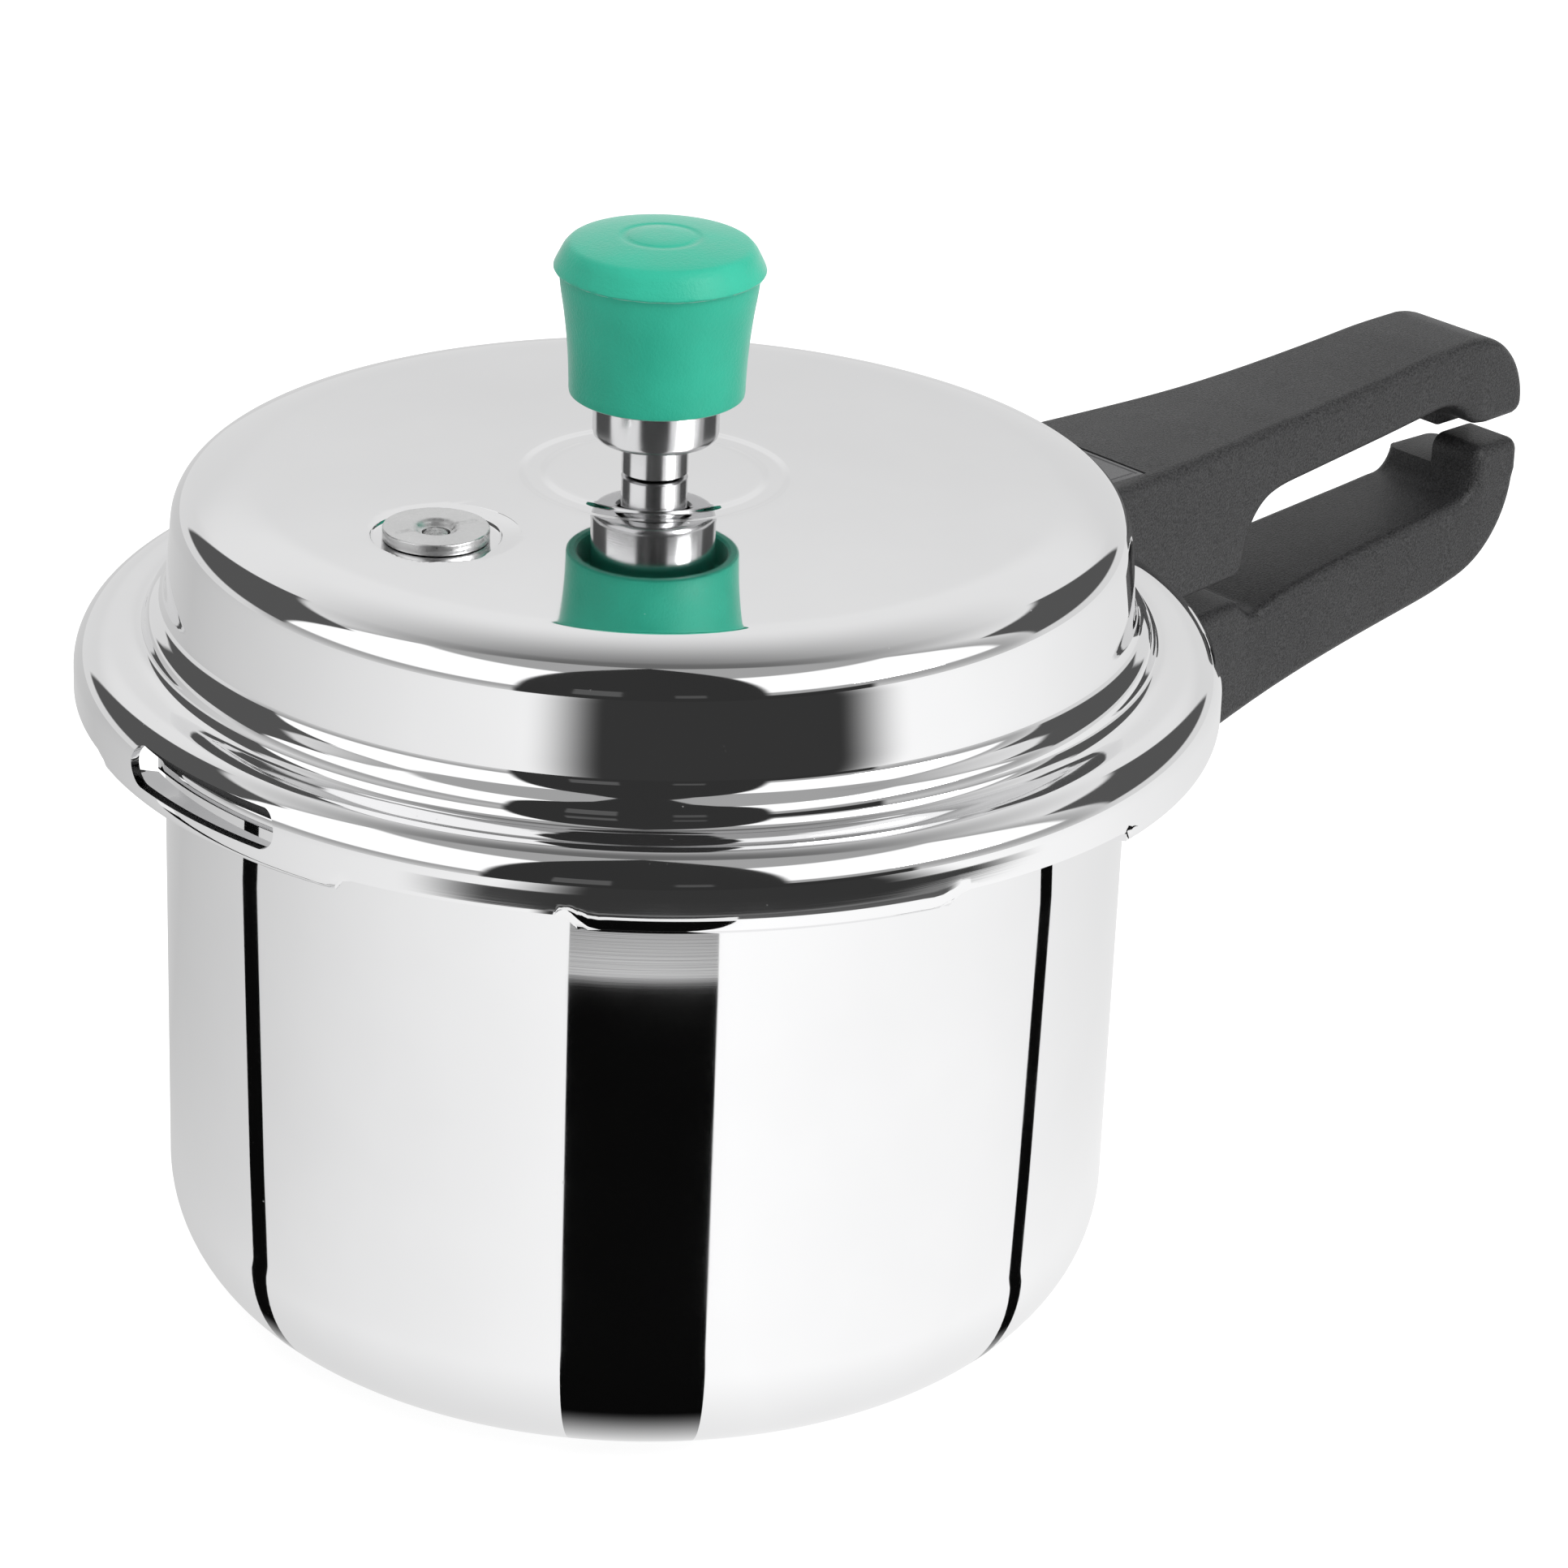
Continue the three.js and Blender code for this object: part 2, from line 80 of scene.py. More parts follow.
def linked(name, bm, material):
    """A bmesh as an object with one material, its place in its mesh."""
    mesh = bpy.data.meshes.new(name)
    bm.to_mesh(mesh)
    bm.free()
    mesh.materials.append(material)
    made = bpy.data.objects.new(name, mesh)
    bpy.context.scene.collection.objects.link(made)
    return made


def shader(name):
    """A new node material with its principled shader."""
    material = bpy.data.materials.new(name)
    material.use_nodes = True
    tree = material.node_tree
    return material, tree, tree.nodes["Principled BSDF"]


room = bpy.data.worlds.new("white_room")
room.use_nodes = True
room.node_tree.nodes["Background"].inputs["Color"].default_value = (1, 1, 1, 1)
room.node_tree.nodes["Background"].inputs["Strength"].default_value = 0.86
bpy.context.scene.world = room

table_paint, _, table_shader = shader("table_paint")
table_shader.inputs["Base Color"].default_value = (0.42, 0.42, 0.42, 1)
table_shader.inputs["Roughness"].default_value = 0.9
table_shader.inputs["Specular IOR Level"].default_value = 0.0
table_shader.inputs["Emission Color"].default_value = (1, 1, 1, 1)
table_shader.inputs["Emission Strength"].default_value = 0.76
bm = bmesh.new()
bmesh.ops.create_grid(bm, x_segments=4, y_segments=4, size=6.0)
bmesh.ops.translate(bm, verts=bm.verts, vec=(0, 0, -0.0002))
table = linked("table", bm, table_paint)
table.visible_glossy = False

overhead_data = bpy.data.lights.new("overhead", "SUN")
overhead_data.energy = 1.3
overhead_data.angle = math.radians(80)
overhead = bpy.data.objects.new("overhead", overhead_data)
overhead.matrix_world = Matrix.Rotation(math.radians(12), 4, "X")
overhead.visible_glossy = False
bpy.context.scene.collection.objects.link(overhead)

window_data = bpy.data.lights.new("window", "AREA")
window_data.shape = "RECTANGLE"
window_data.size, window_data.size_y = 0.5, 0.7
window_data.energy = 9.0
window = bpy.data.objects.new("window", window_data)
window_place = from_front(58, 1.0, 0.75)
window.matrix_world = (
    Matrix.Translation(window_place) @ window_place.to_track_quat("Z", "Y").to_matrix().to_4x4()
)
bpy.context.scene.collection.objects.link(window)


def only_in_metal(card):
    """Keeps a stage card out of every ray but those that polished metal sends."""
    card.visible_camera = False
    card.visible_diffuse = False
    card.visible_shadow = False
    card.visible_transmission = False
    return card


def glow_paint(name):
    """A material that shows a painted level of light, and its colour input."""
    material = bpy.data.materials.new(name)
    material.use_nodes = True
    tree = material.node_tree
    tree.nodes.clear()
    glow = tree.nodes.new("ShaderNodeEmission")
    end = tree.nodes.new("ShaderNodeOutputMaterial")
    tree.links.new(glow.outputs["Emission"], end.inputs["Surface"])
    return material, tree, glow.inputs["Color"]


def computed(tree, operation, *values):
    """A math node on outputs or numbers."""
    node = tree.nodes.new("ShaderNodeMath")
    node.operation = operation
    for socket, value in zip(node.inputs, values):
        if isinstance(value, (int, float)):
            socket.default_value = value
        else:
            tree.links.new(value, socket)
    return node.outputs[0]


def step_up(tree, value, middle, soft):
    """A soft step from nought to one round a middle value."""
    step = tree.nodes.new("ShaderNodeMapRange")
    step.interpolation_type = "SMOOTHSTEP"
    step.inputs["From Min"].default_value = middle - soft
    step.inputs["From Max"].default_value = middle + soft
    tree.links.new(value, step.inputs["Value"])
    return step.outputs[0]


def band(tree, value, low, high, soft):
    """A soft-edged band between two values."""
    rise = step_up(tree, value, low, soft)
    fall = step_up(tree, value, high, soft)
    return computed(tree, "MULTIPLY", rise, computed(tree, "SUBTRACT", 1.0, fall))


def reach_from_middle(tree):
    """Distance from the middle of the table, in metres."""
    place = tree.nodes.new("ShaderNodeTexCoord")
    reach = tree.nodes.new("ShaderNodeVectorMath")
    reach.operation = "LENGTH"
    tree.links.new(place.outputs["Object"], reach.inputs[0])
    return reach.outputs["Value"]


def sky_angles(tree):
    """Bearing from the camera's side and height above the horizon, both in degrees."""
    place = tree.nodes.new("ShaderNodeTexCoord")
    turned_round = tree.nodes.new("ShaderNodeMapping")
    turned_round.inputs["Rotation"].default_value = (0, 0, -FRONT)
    tree.links.new(place.outputs["Object"], turned_round.inputs["Vector"])
    unit = tree.nodes.new("ShaderNodeVectorMath")
    unit.operation = "NORMALIZE"
    tree.links.new(turned_round.outputs[0], unit.inputs[0])
    parts = tree.nodes.new("ShaderNodeSeparateXYZ")
    tree.links.new(unit.outputs[0], parts.inputs[0])
    bearing = computed(tree, "ARCTAN2", parts.outputs["Y"], parts.outputs["X"])
    height = computed(tree, "ARCSINE", parts.outputs["Z"])
    return (
        computed(tree, "MULTIPLY", bearing, 180 / math.pi),
        computed(tree, "MULTIPLY", height, 180 / math.pi),
    )


def painted_over(tree, under, mask, level):
    """A level of light laid over another where a mask says."""
    mix = tree.nodes.new("ShaderNodeMix")
    tree.links.new(mask, mix.inputs["Factor"])
    for value, socket in ((under, mix.inputs["A"]), (level, mix.inputs["B"])):
        if isinstance(value, (int, float)):
            socket.default_value = value
        else:
            tree.links.new(value, socket)
    return mix.outputs["Result"]


# The room's painted reflection, which only polished metal sees: a pale backdrop, a dark ceiling,
# two softboxes, the dark space round the camera between them, and a black flag on each side.
room_paint, room_tree, room_light = glow_paint("room_seen_in_metal")
bearing, height = sky_angles(room_tree)
light = painted_over(room_tree, 0.78, step_up(room_tree, height, 24.0, 6.0), 0.90)
light = painted_over(room_tree, light, step_up(room_tree, height, 58.0, 22.0), 0.16)
for low_bearing, high_bearing, low_height, high_height, soft, level in [
    (-100, 96, 3, 200, 9.0, 0.42),
    (-96, -30, 14, 62, 1.6, 1.25),
    (27, 88, 16, 58, 1.6, 1.25),
    (-30, 27, -20, 92, 1.2, 0.035),
    (-17, -6, 2, 22, 0.4, 0.11),
    (6, 13, -4, 16, 0.4, 0.09),
    (-30, 52, -20, 9, 1.2, 0.035),
    (-142, -92, 9, 46, 1.2, 0.10),
    (99, 145, 9, 40, 1.2, 0.10),
]:
    mask = computed(
        room_tree,
        "MULTIPLY",
        band(room_tree, bearing, low_bearing, high_bearing, soft),
        band(room_tree, height, low_height, high_height, soft),
    )
    light = painted_over(room_tree, light, mask, level)
room_tree.links.new(light, room_light)
bm = bmesh.new()
bmesh.ops.create_uvsphere(bm, u_segments=64, v_segments=32, radius=8.0)
only_in_metal(linked("room_shell", bm, room_paint))

# The table's painted reflection, which only polished metal sees: brighter on the camera's right,
# dark past its front edge, and with painted shade round the pot's foot.
board_paint, board_tree, board_light = glow_paint("table_seen_in_metal")
bearing, height = sky_angles(board_tree)
ramp = board_tree.nodes.new("ShaderNodeValToRGB")
board_tree.links.new(
    computed(board_tree, "MULTIPLY_ADD", bearing, 1 / 360, 0.5), ramp.inputs["Fac"]
)
ramp.color_ramp.elements[0].position = 0.0
ramp.color_ramp.elements[1].position = 1.0
for share, level in [
    (0.15, 0.60),
    (0.28, 0.80),
    (0.36, 0.95),
    (0.55, 1.2),
    (0.70, 1.1),
    (0.85, 0.9),
]:
    stop = ramp.color_ramp.elements.new(share)
    stop.color = (level, level, level, 1)
for stop in (ramp.color_ramp.elements[0], ramp.color_ramp.elements[-1]):
    stop.color = (0.72, 0.72, 0.72, 1)
reach = reach_from_middle(board_tree)
light = ramp.outputs["Color"]
for low_bearing, high_bearing, ease, start, end, soft, level in [
    (-34, 66, 9.0, 0.388, 0.450, 0.006, 0.06),
    (-17, 54, 2.0, 0.345, 0.388, 0.008, 0.04),
    (15, 54, 2.5, 0.345, 0.383, 0.006, 0.12),
    (-18, 50, 9.0, 0.388, 9.0, 0.006, 0.04),
]:
    mask = computed(
        board_tree,
        "MULTIPLY",
        band(board_tree, bearing, low_bearing, high_bearing, ease),
        band(board_tree, reach, start, end, soft),
    )
    light = painted_over(board_tree, light, mask, level)
# Painted shade: the reflected table is darker near its middle, round the pot's foot.
near = step_up(board_tree, reach, 0.085, 0.045)
shade = computed(board_tree, "MULTIPLY_ADD", near, 0.35, 0.65)
light = computed(board_tree, "MULTIPLY", light, shade)
board_tree.links.new(light, board_light)
bm = bmesh.new()
bmesh.ops.create_circle(bm, cap_ends=True, segments=64, radius=7.0)
only_in_metal(linked("table_in_metal", bm, board_paint))

# The strips' painted reflection: pale below the pot's foot, black from there, and as bright as
# the table past its far end.
BLACK_FROM, BLACK_TO = 0.086, 0.3165
painted_strip_reflection, strip_reflection_tree, strip_reflection_light = glow_paint("painted_strip_reflection")
reach = reach_from_middle(strip_reflection_tree)
past_foot = step_up(strip_reflection_tree, reach, BLACK_FROM, 0.010)
past_end = step_up(strip_reflection_tree, reach, BLACK_TO, 0.0055)
light = painted_over(strip_reflection_tree, 0.8, past_foot, 0.003)
light = painted_over(strip_reflection_tree, light, past_end, 1.0)
strip_reflection_tree.links.new(light, strip_reflection_light)


# The pot's wall and rounded corner as the strips are laid out for them, in metres, the
# share of a strip that lies in the corner, and how far round the corner it starts.
WALL_REACH, WALL_SEEN, CORNER_REACH, CORNER_ROUND = 0.095, 0.1, 0.0669, 0.0278
CORNER_SHARE, CORNER_DIP, STRIP_HEIGHT = 0.3, 64, 0.0004


def wall_seen_at(bearing, radius, height, dip):
    """Where the camera's ray, mirrored by the pot at a bearing, meets the table."""
    out = from_front(bearing, 1.0, 0.0)
    normal = (out * math.cos(dip) + Vector((0, 0, -math.sin(dip)))).normalized()
    place = from_front(bearing, radius, height)
    ray = (place - CAMERA_PLACE).normalized()
    ray = ray - 2 * ray.dot(normal) * normal
    return place + ray * ((height - STRIP_HEIGHT) / max(-ray.z, 1e-3))


def floor_strip(name, low_edge, high_edge, lean):
    """A painted strip on the table whose two sides mirror in the pot as two straight lines."""
    bm = bmesh.new()
    bmesh.ops.create_grid(bm, x_segments=1, y_segments=36, size=1.0)
    for vert in bm.verts:
        share = (vert.co.y + 1) / 2
        bearing = low_edge if vert.co.x < 0 else high_edge
        bearing += lean * (1 - share)
        if share < CORNER_SHARE:
            dip = math.radians(CORNER_DIP * (1 - share / CORNER_SHARE))
            radius = CORNER_REACH + CORNER_ROUND * math.cos(dip)
            height = CORNER_ROUND - CORNER_ROUND * math.sin(dip)
            spot = wall_seen_at(bearing, radius, height, dip)
        else:
            height = CORNER_ROUND + (share - CORNER_SHARE) / (1 - CORNER_SHARE) * WALL_SEEN
            spot = wall_seen_at(bearing, WALL_REACH, height, 0.0)
        vert.co = (spot.x, spot.y, STRIP_HEIGHT)
    return only_in_metal(linked(name, bm, painted_strip_reflection))


floor_strip("strip_middle", -8.1, 8.65, 0.0)
floor_strip("strip_left", -53.4, -50.5, 2.5)
floor_strip("strip_right", 52.9, 55.3, -2.5)

# ---- Pot body ----
# The pot is drawn from one stainless sheet with a broad rounded corner, and polished on
# a wheel. Its mouth is turned out to a flange with six lugs that hold the lid down.
POT_FOOT, POT_CORNER, POT_WALL = 94.5, 27.8, 2.1
FLANGE_REACH, LUG_REACH, LUG_HALF, FLANGE_LOW, POT_TOP = 101.5, 106.0, 13.0, 130.0, 133.5
STEEL = (0.84, 0.84, 0.845, 1)


def arc(centre_r, centre_z, radius, start, end, steps):
    """Points along a circular arc, its angles in degrees."""
    return [
        (
            centre_r + radius * math.cos(math.radians(start + (end - start) * i / steps)),
            centre_z + radius * math.sin(math.radians(start + (end - start) * i / steps)),
        )
        for i in range(steps + 1)
    ]


def turned(profile, steps, closed=True):
    """A profile of (radius, height) in millimetres, spun once round the Z axis."""
    bm = bmesh.new()
    verts = [bm.verts.new((r * MM, 0, z * MM)) for r, z in profile]
    edges = [bm.edges.new(pair) for pair in zip(verts, verts[1:])]
    if closed and (profile[0][0] > 0 or profile[-1][0] > 0):
        edges.append(bm.edges.new((verts[-1], verts[0])))
    bmesh.ops.spin(
        bm,
        geom=verts + edges,
        cent=(0, 0, 0),
        axis=(0, 0, 1),
        dvec=(0, 0, 0),
        angle=2 * math.pi,
        steps=steps,
        use_merge=True,
    )
    bmesh.ops.remove_doubles(bm, verts=bm.verts, dist=2e-6)
    bmesh.ops.recalc_face_normals(bm, faces=bm.faces)
    return bm


def piece(name, bm, material, body, nodes, sharp=38.0):
    """A finished piece: shaded smooth but for its sharp edges, riding on its body."""
    for face in bm.faces:
        face.smooth = True
    made = linked(name, bm, material)
    made.data.set_sharp_from_angle(angle=math.radians(sharp))
    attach(made, body)
    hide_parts(*nodes)
    return made


def round_coordinates(tree):
    """Object coordinates as (distance across the turned surface, and a turn without a seam)."""
    nodes, links = tree.nodes, tree.links
    place = nodes.new("ShaderNodeTexCoord")
    flat = nodes.new("ShaderNodeVectorMath")
    flat.operation = "MULTIPLY"
    flat.inputs[1].default_value = (1, 1, 0)
    links.new(place.outputs["Object"], flat.inputs[0])
    radius = nodes.new("ShaderNodeVectorMath")
    radius.operation = "LENGTH"
    links.new(flat.outputs[0], radius.inputs[0])
    turn = nodes.new("ShaderNodeVectorMath")
    turn.operation = "NORMALIZE"
    links.new(flat.outputs[0], turn.inputs[0])
    parts = nodes.new("ShaderNodeSeparateXYZ")
    links.new(turn.outputs[0], parts.inputs[0])
    height = nodes.new("ShaderNodeSeparateXYZ")
    links.new(place.outputs["Object"], height.inputs[0])
    across = computed(tree, "MULTIPLY_ADD", height.outputs["Z"], 1.37, radius.outputs["Value"])
    return place, parts, across


def noise_texture(tree, vector, scale, detail=2.0, roughness=0.5):
    """A noise texture on a vector output."""
    cloud = tree.nodes.new("ShaderNodeTexNoise")
    cloud.inputs["Scale"].default_value = scale
    cloud.inputs["Detail"].default_value = detail
    cloud.inputs["Roughness"].default_value = roughness
    tree.links.new(vector, cloud.inputs["Vector"])
    return cloud


def ranged(tree, value, low, high, to_low, to_high):
    """A value mapped from one range to another, and clamped."""
    change = tree.nodes.new("ShaderNodeMapRange")
    change.inputs["From Min"].default_value = low
    change.inputs["From Max"].default_value = high
    change.inputs["To Min"].default_value = to_low
    change.inputs["To Max"].default_value = to_high
    tree.links.new(value, change.inputs["Value"])
    return change.outputs[0]


def raised(tree, height, strength, distance):
    """A bump from a height."""
    bump = tree.nodes.new("ShaderNodeBump")
    bump.inputs["Strength"].default_value = strength
    bump.inputs["Distance"].default_value = distance
    tree.links.new(height, bump.inputs["Height"])
    return bump.outputs["Normal"]


def two_tone(tree, surface, cloud, first, second):
    """A base colour that drifts between two tones with a cloud."""
    tone = tree.nodes.new("ShaderNodeMix")
    tone.data_type = "RGBA"
    tone.inputs["A"].default_value = first
    tone.inputs["B"].default_value = second
    tree.links.new(cloud, tone.inputs["Factor"])
    tree.links.new(tone.outputs["Result"], surface.inputs["Base Color"])


def darker(colour, share):
    """A colour at a share of its brightness."""
    return tuple(share * c for c in colour[:3]) + (1,)


def polished_steel(name, colour, low, high, lines, line_count, dust=0.0):
    """Wheel-polished steel: hazy patches, fine lines round the turn, and a little dust."""
    material, tree, surface = shader(name)
    nodes, links = tree.nodes, tree.links
    surface.inputs["Metallic"].default_value = 1.0
    place, turn, across = round_coordinates(tree)
    lay = nodes.new("ShaderNodeCombineXYZ")
    links.new(computed(tree, "MULTIPLY", across, line_count), lay.inputs["X"])
    links.new(turn.outputs["X"], lay.inputs["Y"])
    links.new(turn.outputs["Y"], lay.inputs["Z"])
    scratch = noise_texture(tree, lay.outputs[0], 1.6, 3.0, 0.6)
    haze = noise_texture(tree, place.outputs["Object"], 22.0, 3.0, 0.6)
    rough = ranged(tree, haze.outputs["Fac"], 0.35, 0.7, low, high)
    two_tone(tree, surface, haze.outputs["Fac"], darker(colour, 0.93), colour)
    normal = raised(tree, scratch.outputs["Fac"], lines, 0.00002)
    if dust:
        specks = nodes.new("ShaderNodeTexVoronoi")
        specks.inputs["Scale"].default_value = 420.0
        links.new(place.outputs["Object"], specks.inputs["Vector"])
        grain = ranged(tree, specks.outputs["Distance"], 0.0, 0.12, 1.0, 0.0)
        patch = noise_texture(tree, place.outputs["Object"], 55.0, 2.0)
        where = ranged(tree, patch.outputs["Fac"], 0.58, 0.7, 0.0, dust)
        rough = computed(tree, "ADD", rough, computed(tree, "MULTIPLY", grain, where))
        rough.node.use_clamp = True
    links.new(rough, surface.inputs["Roughness"])
    links.new(normal, surface.inputs["Normal"])
    return material


pot_polish = polished_steel("pot_polish", STEEL, 0.012, 0.05, 0.03, 900.0, 0.2)
corner_r = POT_FOOT - POT_CORNER


def eased(share):
    """A share held between nought and one, with a soft start and end."""
    share = min(max(share, 0.0), 1.0)
    return share * share * (3 - 2 * share)


def off_lug(vert):
    """Degrees round the turn from a vertex to the nearest of the six lugs."""
    turn = math.degrees(math.atan2(vert.co.y, vert.co.x))
    return abs((turn + 30.0) % 60.0 - 30.0)


pot_profile = [(0, 0), (20, 0), (45, 0), (corner_r - 3, 0)]
pot_profile += arc(corner_r, POT_CORNER, POT_CORNER, -90, 0, 28)
pot_profile += [(94.6, 50), (94.75, 80), (94.9, 110)]
pot_profile += [(95.0, 124), (95.2, 126.8), (95.9, 128.9), (97.0, 129.8), (98.4, FLANGE_LOW)]
pot_profile += [(100.4, FLANGE_LOW), (FLANGE_REACH, FLANGE_LOW + 0.6)]
pot_profile += [(FLANGE_REACH, POT_TOP - 0.7), (100.8, POT_TOP), (96.0, POT_TOP)]
pot_profile += [(94.2, POT_TOP - 0.5), (93.2, POT_TOP - 1.7), (92.95, POT_TOP - 4), (92.9, 110)]
pot_profile += [(92.7, 60)]
pot_profile += arc(corner_r, POT_CORNER, POT_CORNER - POT_WALL, 0, -74, 16)
pot_profile += [(70, 5.6), (64, 5.0), (40, 5.0), (0, 5.0)]
bm = turned(pot_profile, 240)
for vert in bm.verts:
    reach = math.hypot(vert.co.x, vert.co.y) / MM
    if reach > 100.0:
        share = eased((LUG_HALF + 1.2 - off_lug(vert)) / 1.6)
        grow = 1 + (LUG_REACH - FLANGE_REACH) * share / reach
        vert.co.x *= grow
        vert.co.y *= grow
piece("pot", bm, pot_polish, "pot", ["pot_body"], 50.0)

# ---- Gasket ----
# A moulded nitrile rubber ring that sits in the lid's rim and seals on the pot's flange.
# It is moulded in one piece, and keeps a fine dull grain from its mould.


def grained(tree, surface, cloud, span, rough, grain, strength, depth):
    """Roughness that follows a cloud's middle span, and a bump from a grain."""
    tree.links.new(ranged(tree, cloud, *span, *rough), surface.inputs["Roughness"])
    tree.links.new(raised(tree, grain, strength, depth), surface.inputs["Normal"])


rubber, rubber_tree, rubber_surface = shader("moulded_rubber")
rubber_surface.inputs["Base Color"].default_value = (0.02, 0.02, 0.021, 1)
rubber_place = rubber_tree.nodes.new("ShaderNodeTexCoord")
grain = noise_texture(rubber_tree, rubber_place.outputs["Object"], 900.0, 3.0).outputs["Fac"]
grained(rubber_tree, rubber_surface, grain, (0.3, 0.7), (0.55, 0.75), grain, 0.2, 0.0001)
gasket_profile = [(97.3, 133.9), (106.6, 133.9), (107.5, 134.4), (107.7, 135.4), (107.5, 136.2)]
gasket_profile += [(106.4, 137.9), (105.4, 138.6), (104.6, 138.8), (97.9, 138.8), (97.2, 138.2)]
gasket_profile += [(97.1, 136.2), (97.1, 134.3)]
piece("gasket", turned(gasket_profile, 180), rubber, "lid", ["lid_gasket"], 60.0)

# ---- Lid shell ----
# The lid is pressed from stainless sheet and polished to a mirror: a crowned top, a
# stepped wall, a flat rim, and a skirt whose six lobes hook under the pot's lugs.
# A slot in the skirt lets the gasket bulge out if the pressure runs too high.
LID_TOP, LID_CROWN, CROWN_REACH, LID_WALL = 173.0, 0.84, 77.8, 1.8
KNUCKLE_R, KNUCKLE_Z, KNUCKLE, KNUCKLE_TOP, SHOULDER = 85.9, 162.6, 7.7, 66.4, 30.0
RIM_TOP, RIM_FLAT, RIM_ROUND = 141.0, 105.5, 7.0
LOBE_HALF, LOBE_EDGE = 16.0, 3.5
SLOT_LOW, SLOT_HIGH, SLOT_LENGTH = 130.2, 138.2, 43.0
EMBOSS_IN, EMBOSS_OUT, EMBOSS_DEPTH, EMBOSS_SIDE, EMBOSS_SLOPE = 21.8, 25.5, 0.28, 1.2, 1.8
PLUG_X, PLUG_Y = -54.0, 1.0


def smooth_path(points, steps):
    """A smooth curve through points, with the same number of steps in each span."""
    path = []
    for i in range(len(points) - 1):
        before = Vector(points[max(i - 1, 0)])
        start, end = Vector(points[i]), Vector(points[i + 1])
        after = Vector(points[min(i + 2, len(points) - 1)])
        for k in range(steps):
            t = k / steps
            path.append(
                tuple(
                    0.5
                    * (
                        2 * start
                        + (end - before) * t
                        + (2 * before - 5 * start + 4 * end - after) * t * t
                        + (3 * start - before - 3 * end + after) * t * t * t
                    )
                )
            )
    return path + [tuple(points[-1])]


def crown_height(r):
    """The top's height at a distance from its middle, with the shallow ring round the vent."""
    inner = (r - EMBOSS_IN + EMBOSS_SIDE) / EMBOSS_SLOPE
    outer = (EMBOSS_OUT + EMBOSS_SIDE - r) / EMBOSS_SLOPE
    sunk = EMBOSS_DEPTH * eased(min(inner, outer))
    return LID_TOP - LID_CROWN * (r / CROWN_REACH) ** 2 - sunk


crown = [5.35, 8, 11, 14, 17, 19.5]
crown += [20.6 + 0.3 * i for i in range(21)]
crown += [29, 33, 38, 43, 48, 53, 58, 63, 68, 72, 75, 77]
lid_outside = [(r, crown_height(r)) for r in crown]
shoulder_r = KNUCKLE_R + (KNUCKLE - SHOULDER) * math.cos(math.radians(KNUCKLE_TOP))
shoulder_z = KNUCKLE_Z + (KNUCKLE - SHOULDER) * math.sin(math.radians(KNUCKLE_TOP))
lid_outside += arc(shoulder_r, shoulder_z, SHOULDER, 88, KNUCKLE_TOP, 12)
lid_outside += arc(KNUCKLE_R, KNUCKLE_Z, KNUCKLE, KNUCKLE_TOP - 4, 4, 15)
lid_outside += smooth_path(
    [
        (93.75, 161.2),
        (94.1, 157.0),
        (94.4, 153.0),
        (94.6, 150.2),
        (94.95, 148.3),
        (95.8, 146.8),
        (97.0, 145.85),
        (97.95, 145.0),
        (98.5, 143.8),
        (98.85, 142.6),
        (99.6, 141.65),
        (100.9, 141.12),
        (102.6, 141.0),
    ],
    3,
)
lid_outside += [(103.8, 141.0), (105.0, 141.0)]
lid_outside += arc(RIM_FLAT, RIM_TOP - RIM_ROUND, RIM_ROUND, 90, 4, 18)
SKIRT_START = len(lid_outside)
lid_outside += smooth_path(
    [
        (112.5, 133.2),
        (112.5, 131.4),
        (112.49, 129.6),
        (112.35, 128.4),
        (111.9, 127.2),
        (111.0, 126.3),
        (109.6, 125.6),
        (107.6, 125.1),
        (105.2, 124.8),
        (102.9, 124.7),
    ],
    3,
)


def inward(path, thickness):
    """A path moved to its right by a thickness, for the inside of a sheet."""
    moved = []
    for i, (r, z) in enumerate(path):
        r0, z0 = path[max(i - 1, 0)]
        r1, z1 = path[min(i + 1, len(path) - 1)]
        span = math.hypot(r1 - r0, z1 - z0)
        moved.append((r + (z1 - z0) / span * thickness, z - (r1 - r0) / span * thickness))
    return moved


lid_outside = [(min(r, RIM_FLAT + RIM_ROUND), z) for r, z in lid_outside]
lid_inside = inward(lid_outside, LID_WALL)
lid_inside = [(r, min(z, LID_TOP - LID_WALL)) for r, z in lid_inside]
lid_inside[0] = (lid_outside[0][0], lid_inside[0][1])
kept = [p for i, p in enumerate(lid_inside) if i >= SKIRT_START or i < 1 or i % 3 == 0]
skirt_outer = lid_outside[SKIRT_START:]
skirt_inner = lid_inside[SKIRT_START:]
bm = turned(lid_outside + kept[::-1], 360)
gap_end = min(range(len(skirt_outer)), key=lambda i: abs(skirt_outer[i][1] - 129.6))


def along(path, at):
    """The point a fractional number of steps along a path."""
    at = min(max(at, 0.0), len(path) - 1.0)
    low = min(int(at), len(path) - 2)
    share = at - low
    (r0, z0), (r1, z1) = path[low], path[low + 1]
    return r0 + (r1 - r0) * share, z0 + (z1 - z0) * share


for vert in bm.verts:
    reach, height = math.hypot(vert.co.x, vert.co.y) / MM, vert.co.z / MM
    if height > 133.4 or reach < 100.0:
        continue
    best = min(
        ((r - reach) ** 2 + (z - height) ** 2, i, side)
        for side, path in enumerate((skirt_outer, skirt_inner))
        for i, (r, z) in enumerate(path)
    )
    if best[0] > 1e-4:
        continue
    share = eased((off_lug(vert) - LOBE_HALF) / LOBE_EDGE)
    last = len(skirt_outer) - 1
    end = last + (gap_end - last) * share
    r, z = along((skirt_outer, skirt_inner)[best[2]], best[1] * end / last)
    vert.co.x *= r / reach
    vert.co.y *= r / reach
    vert.co.z = z * MM


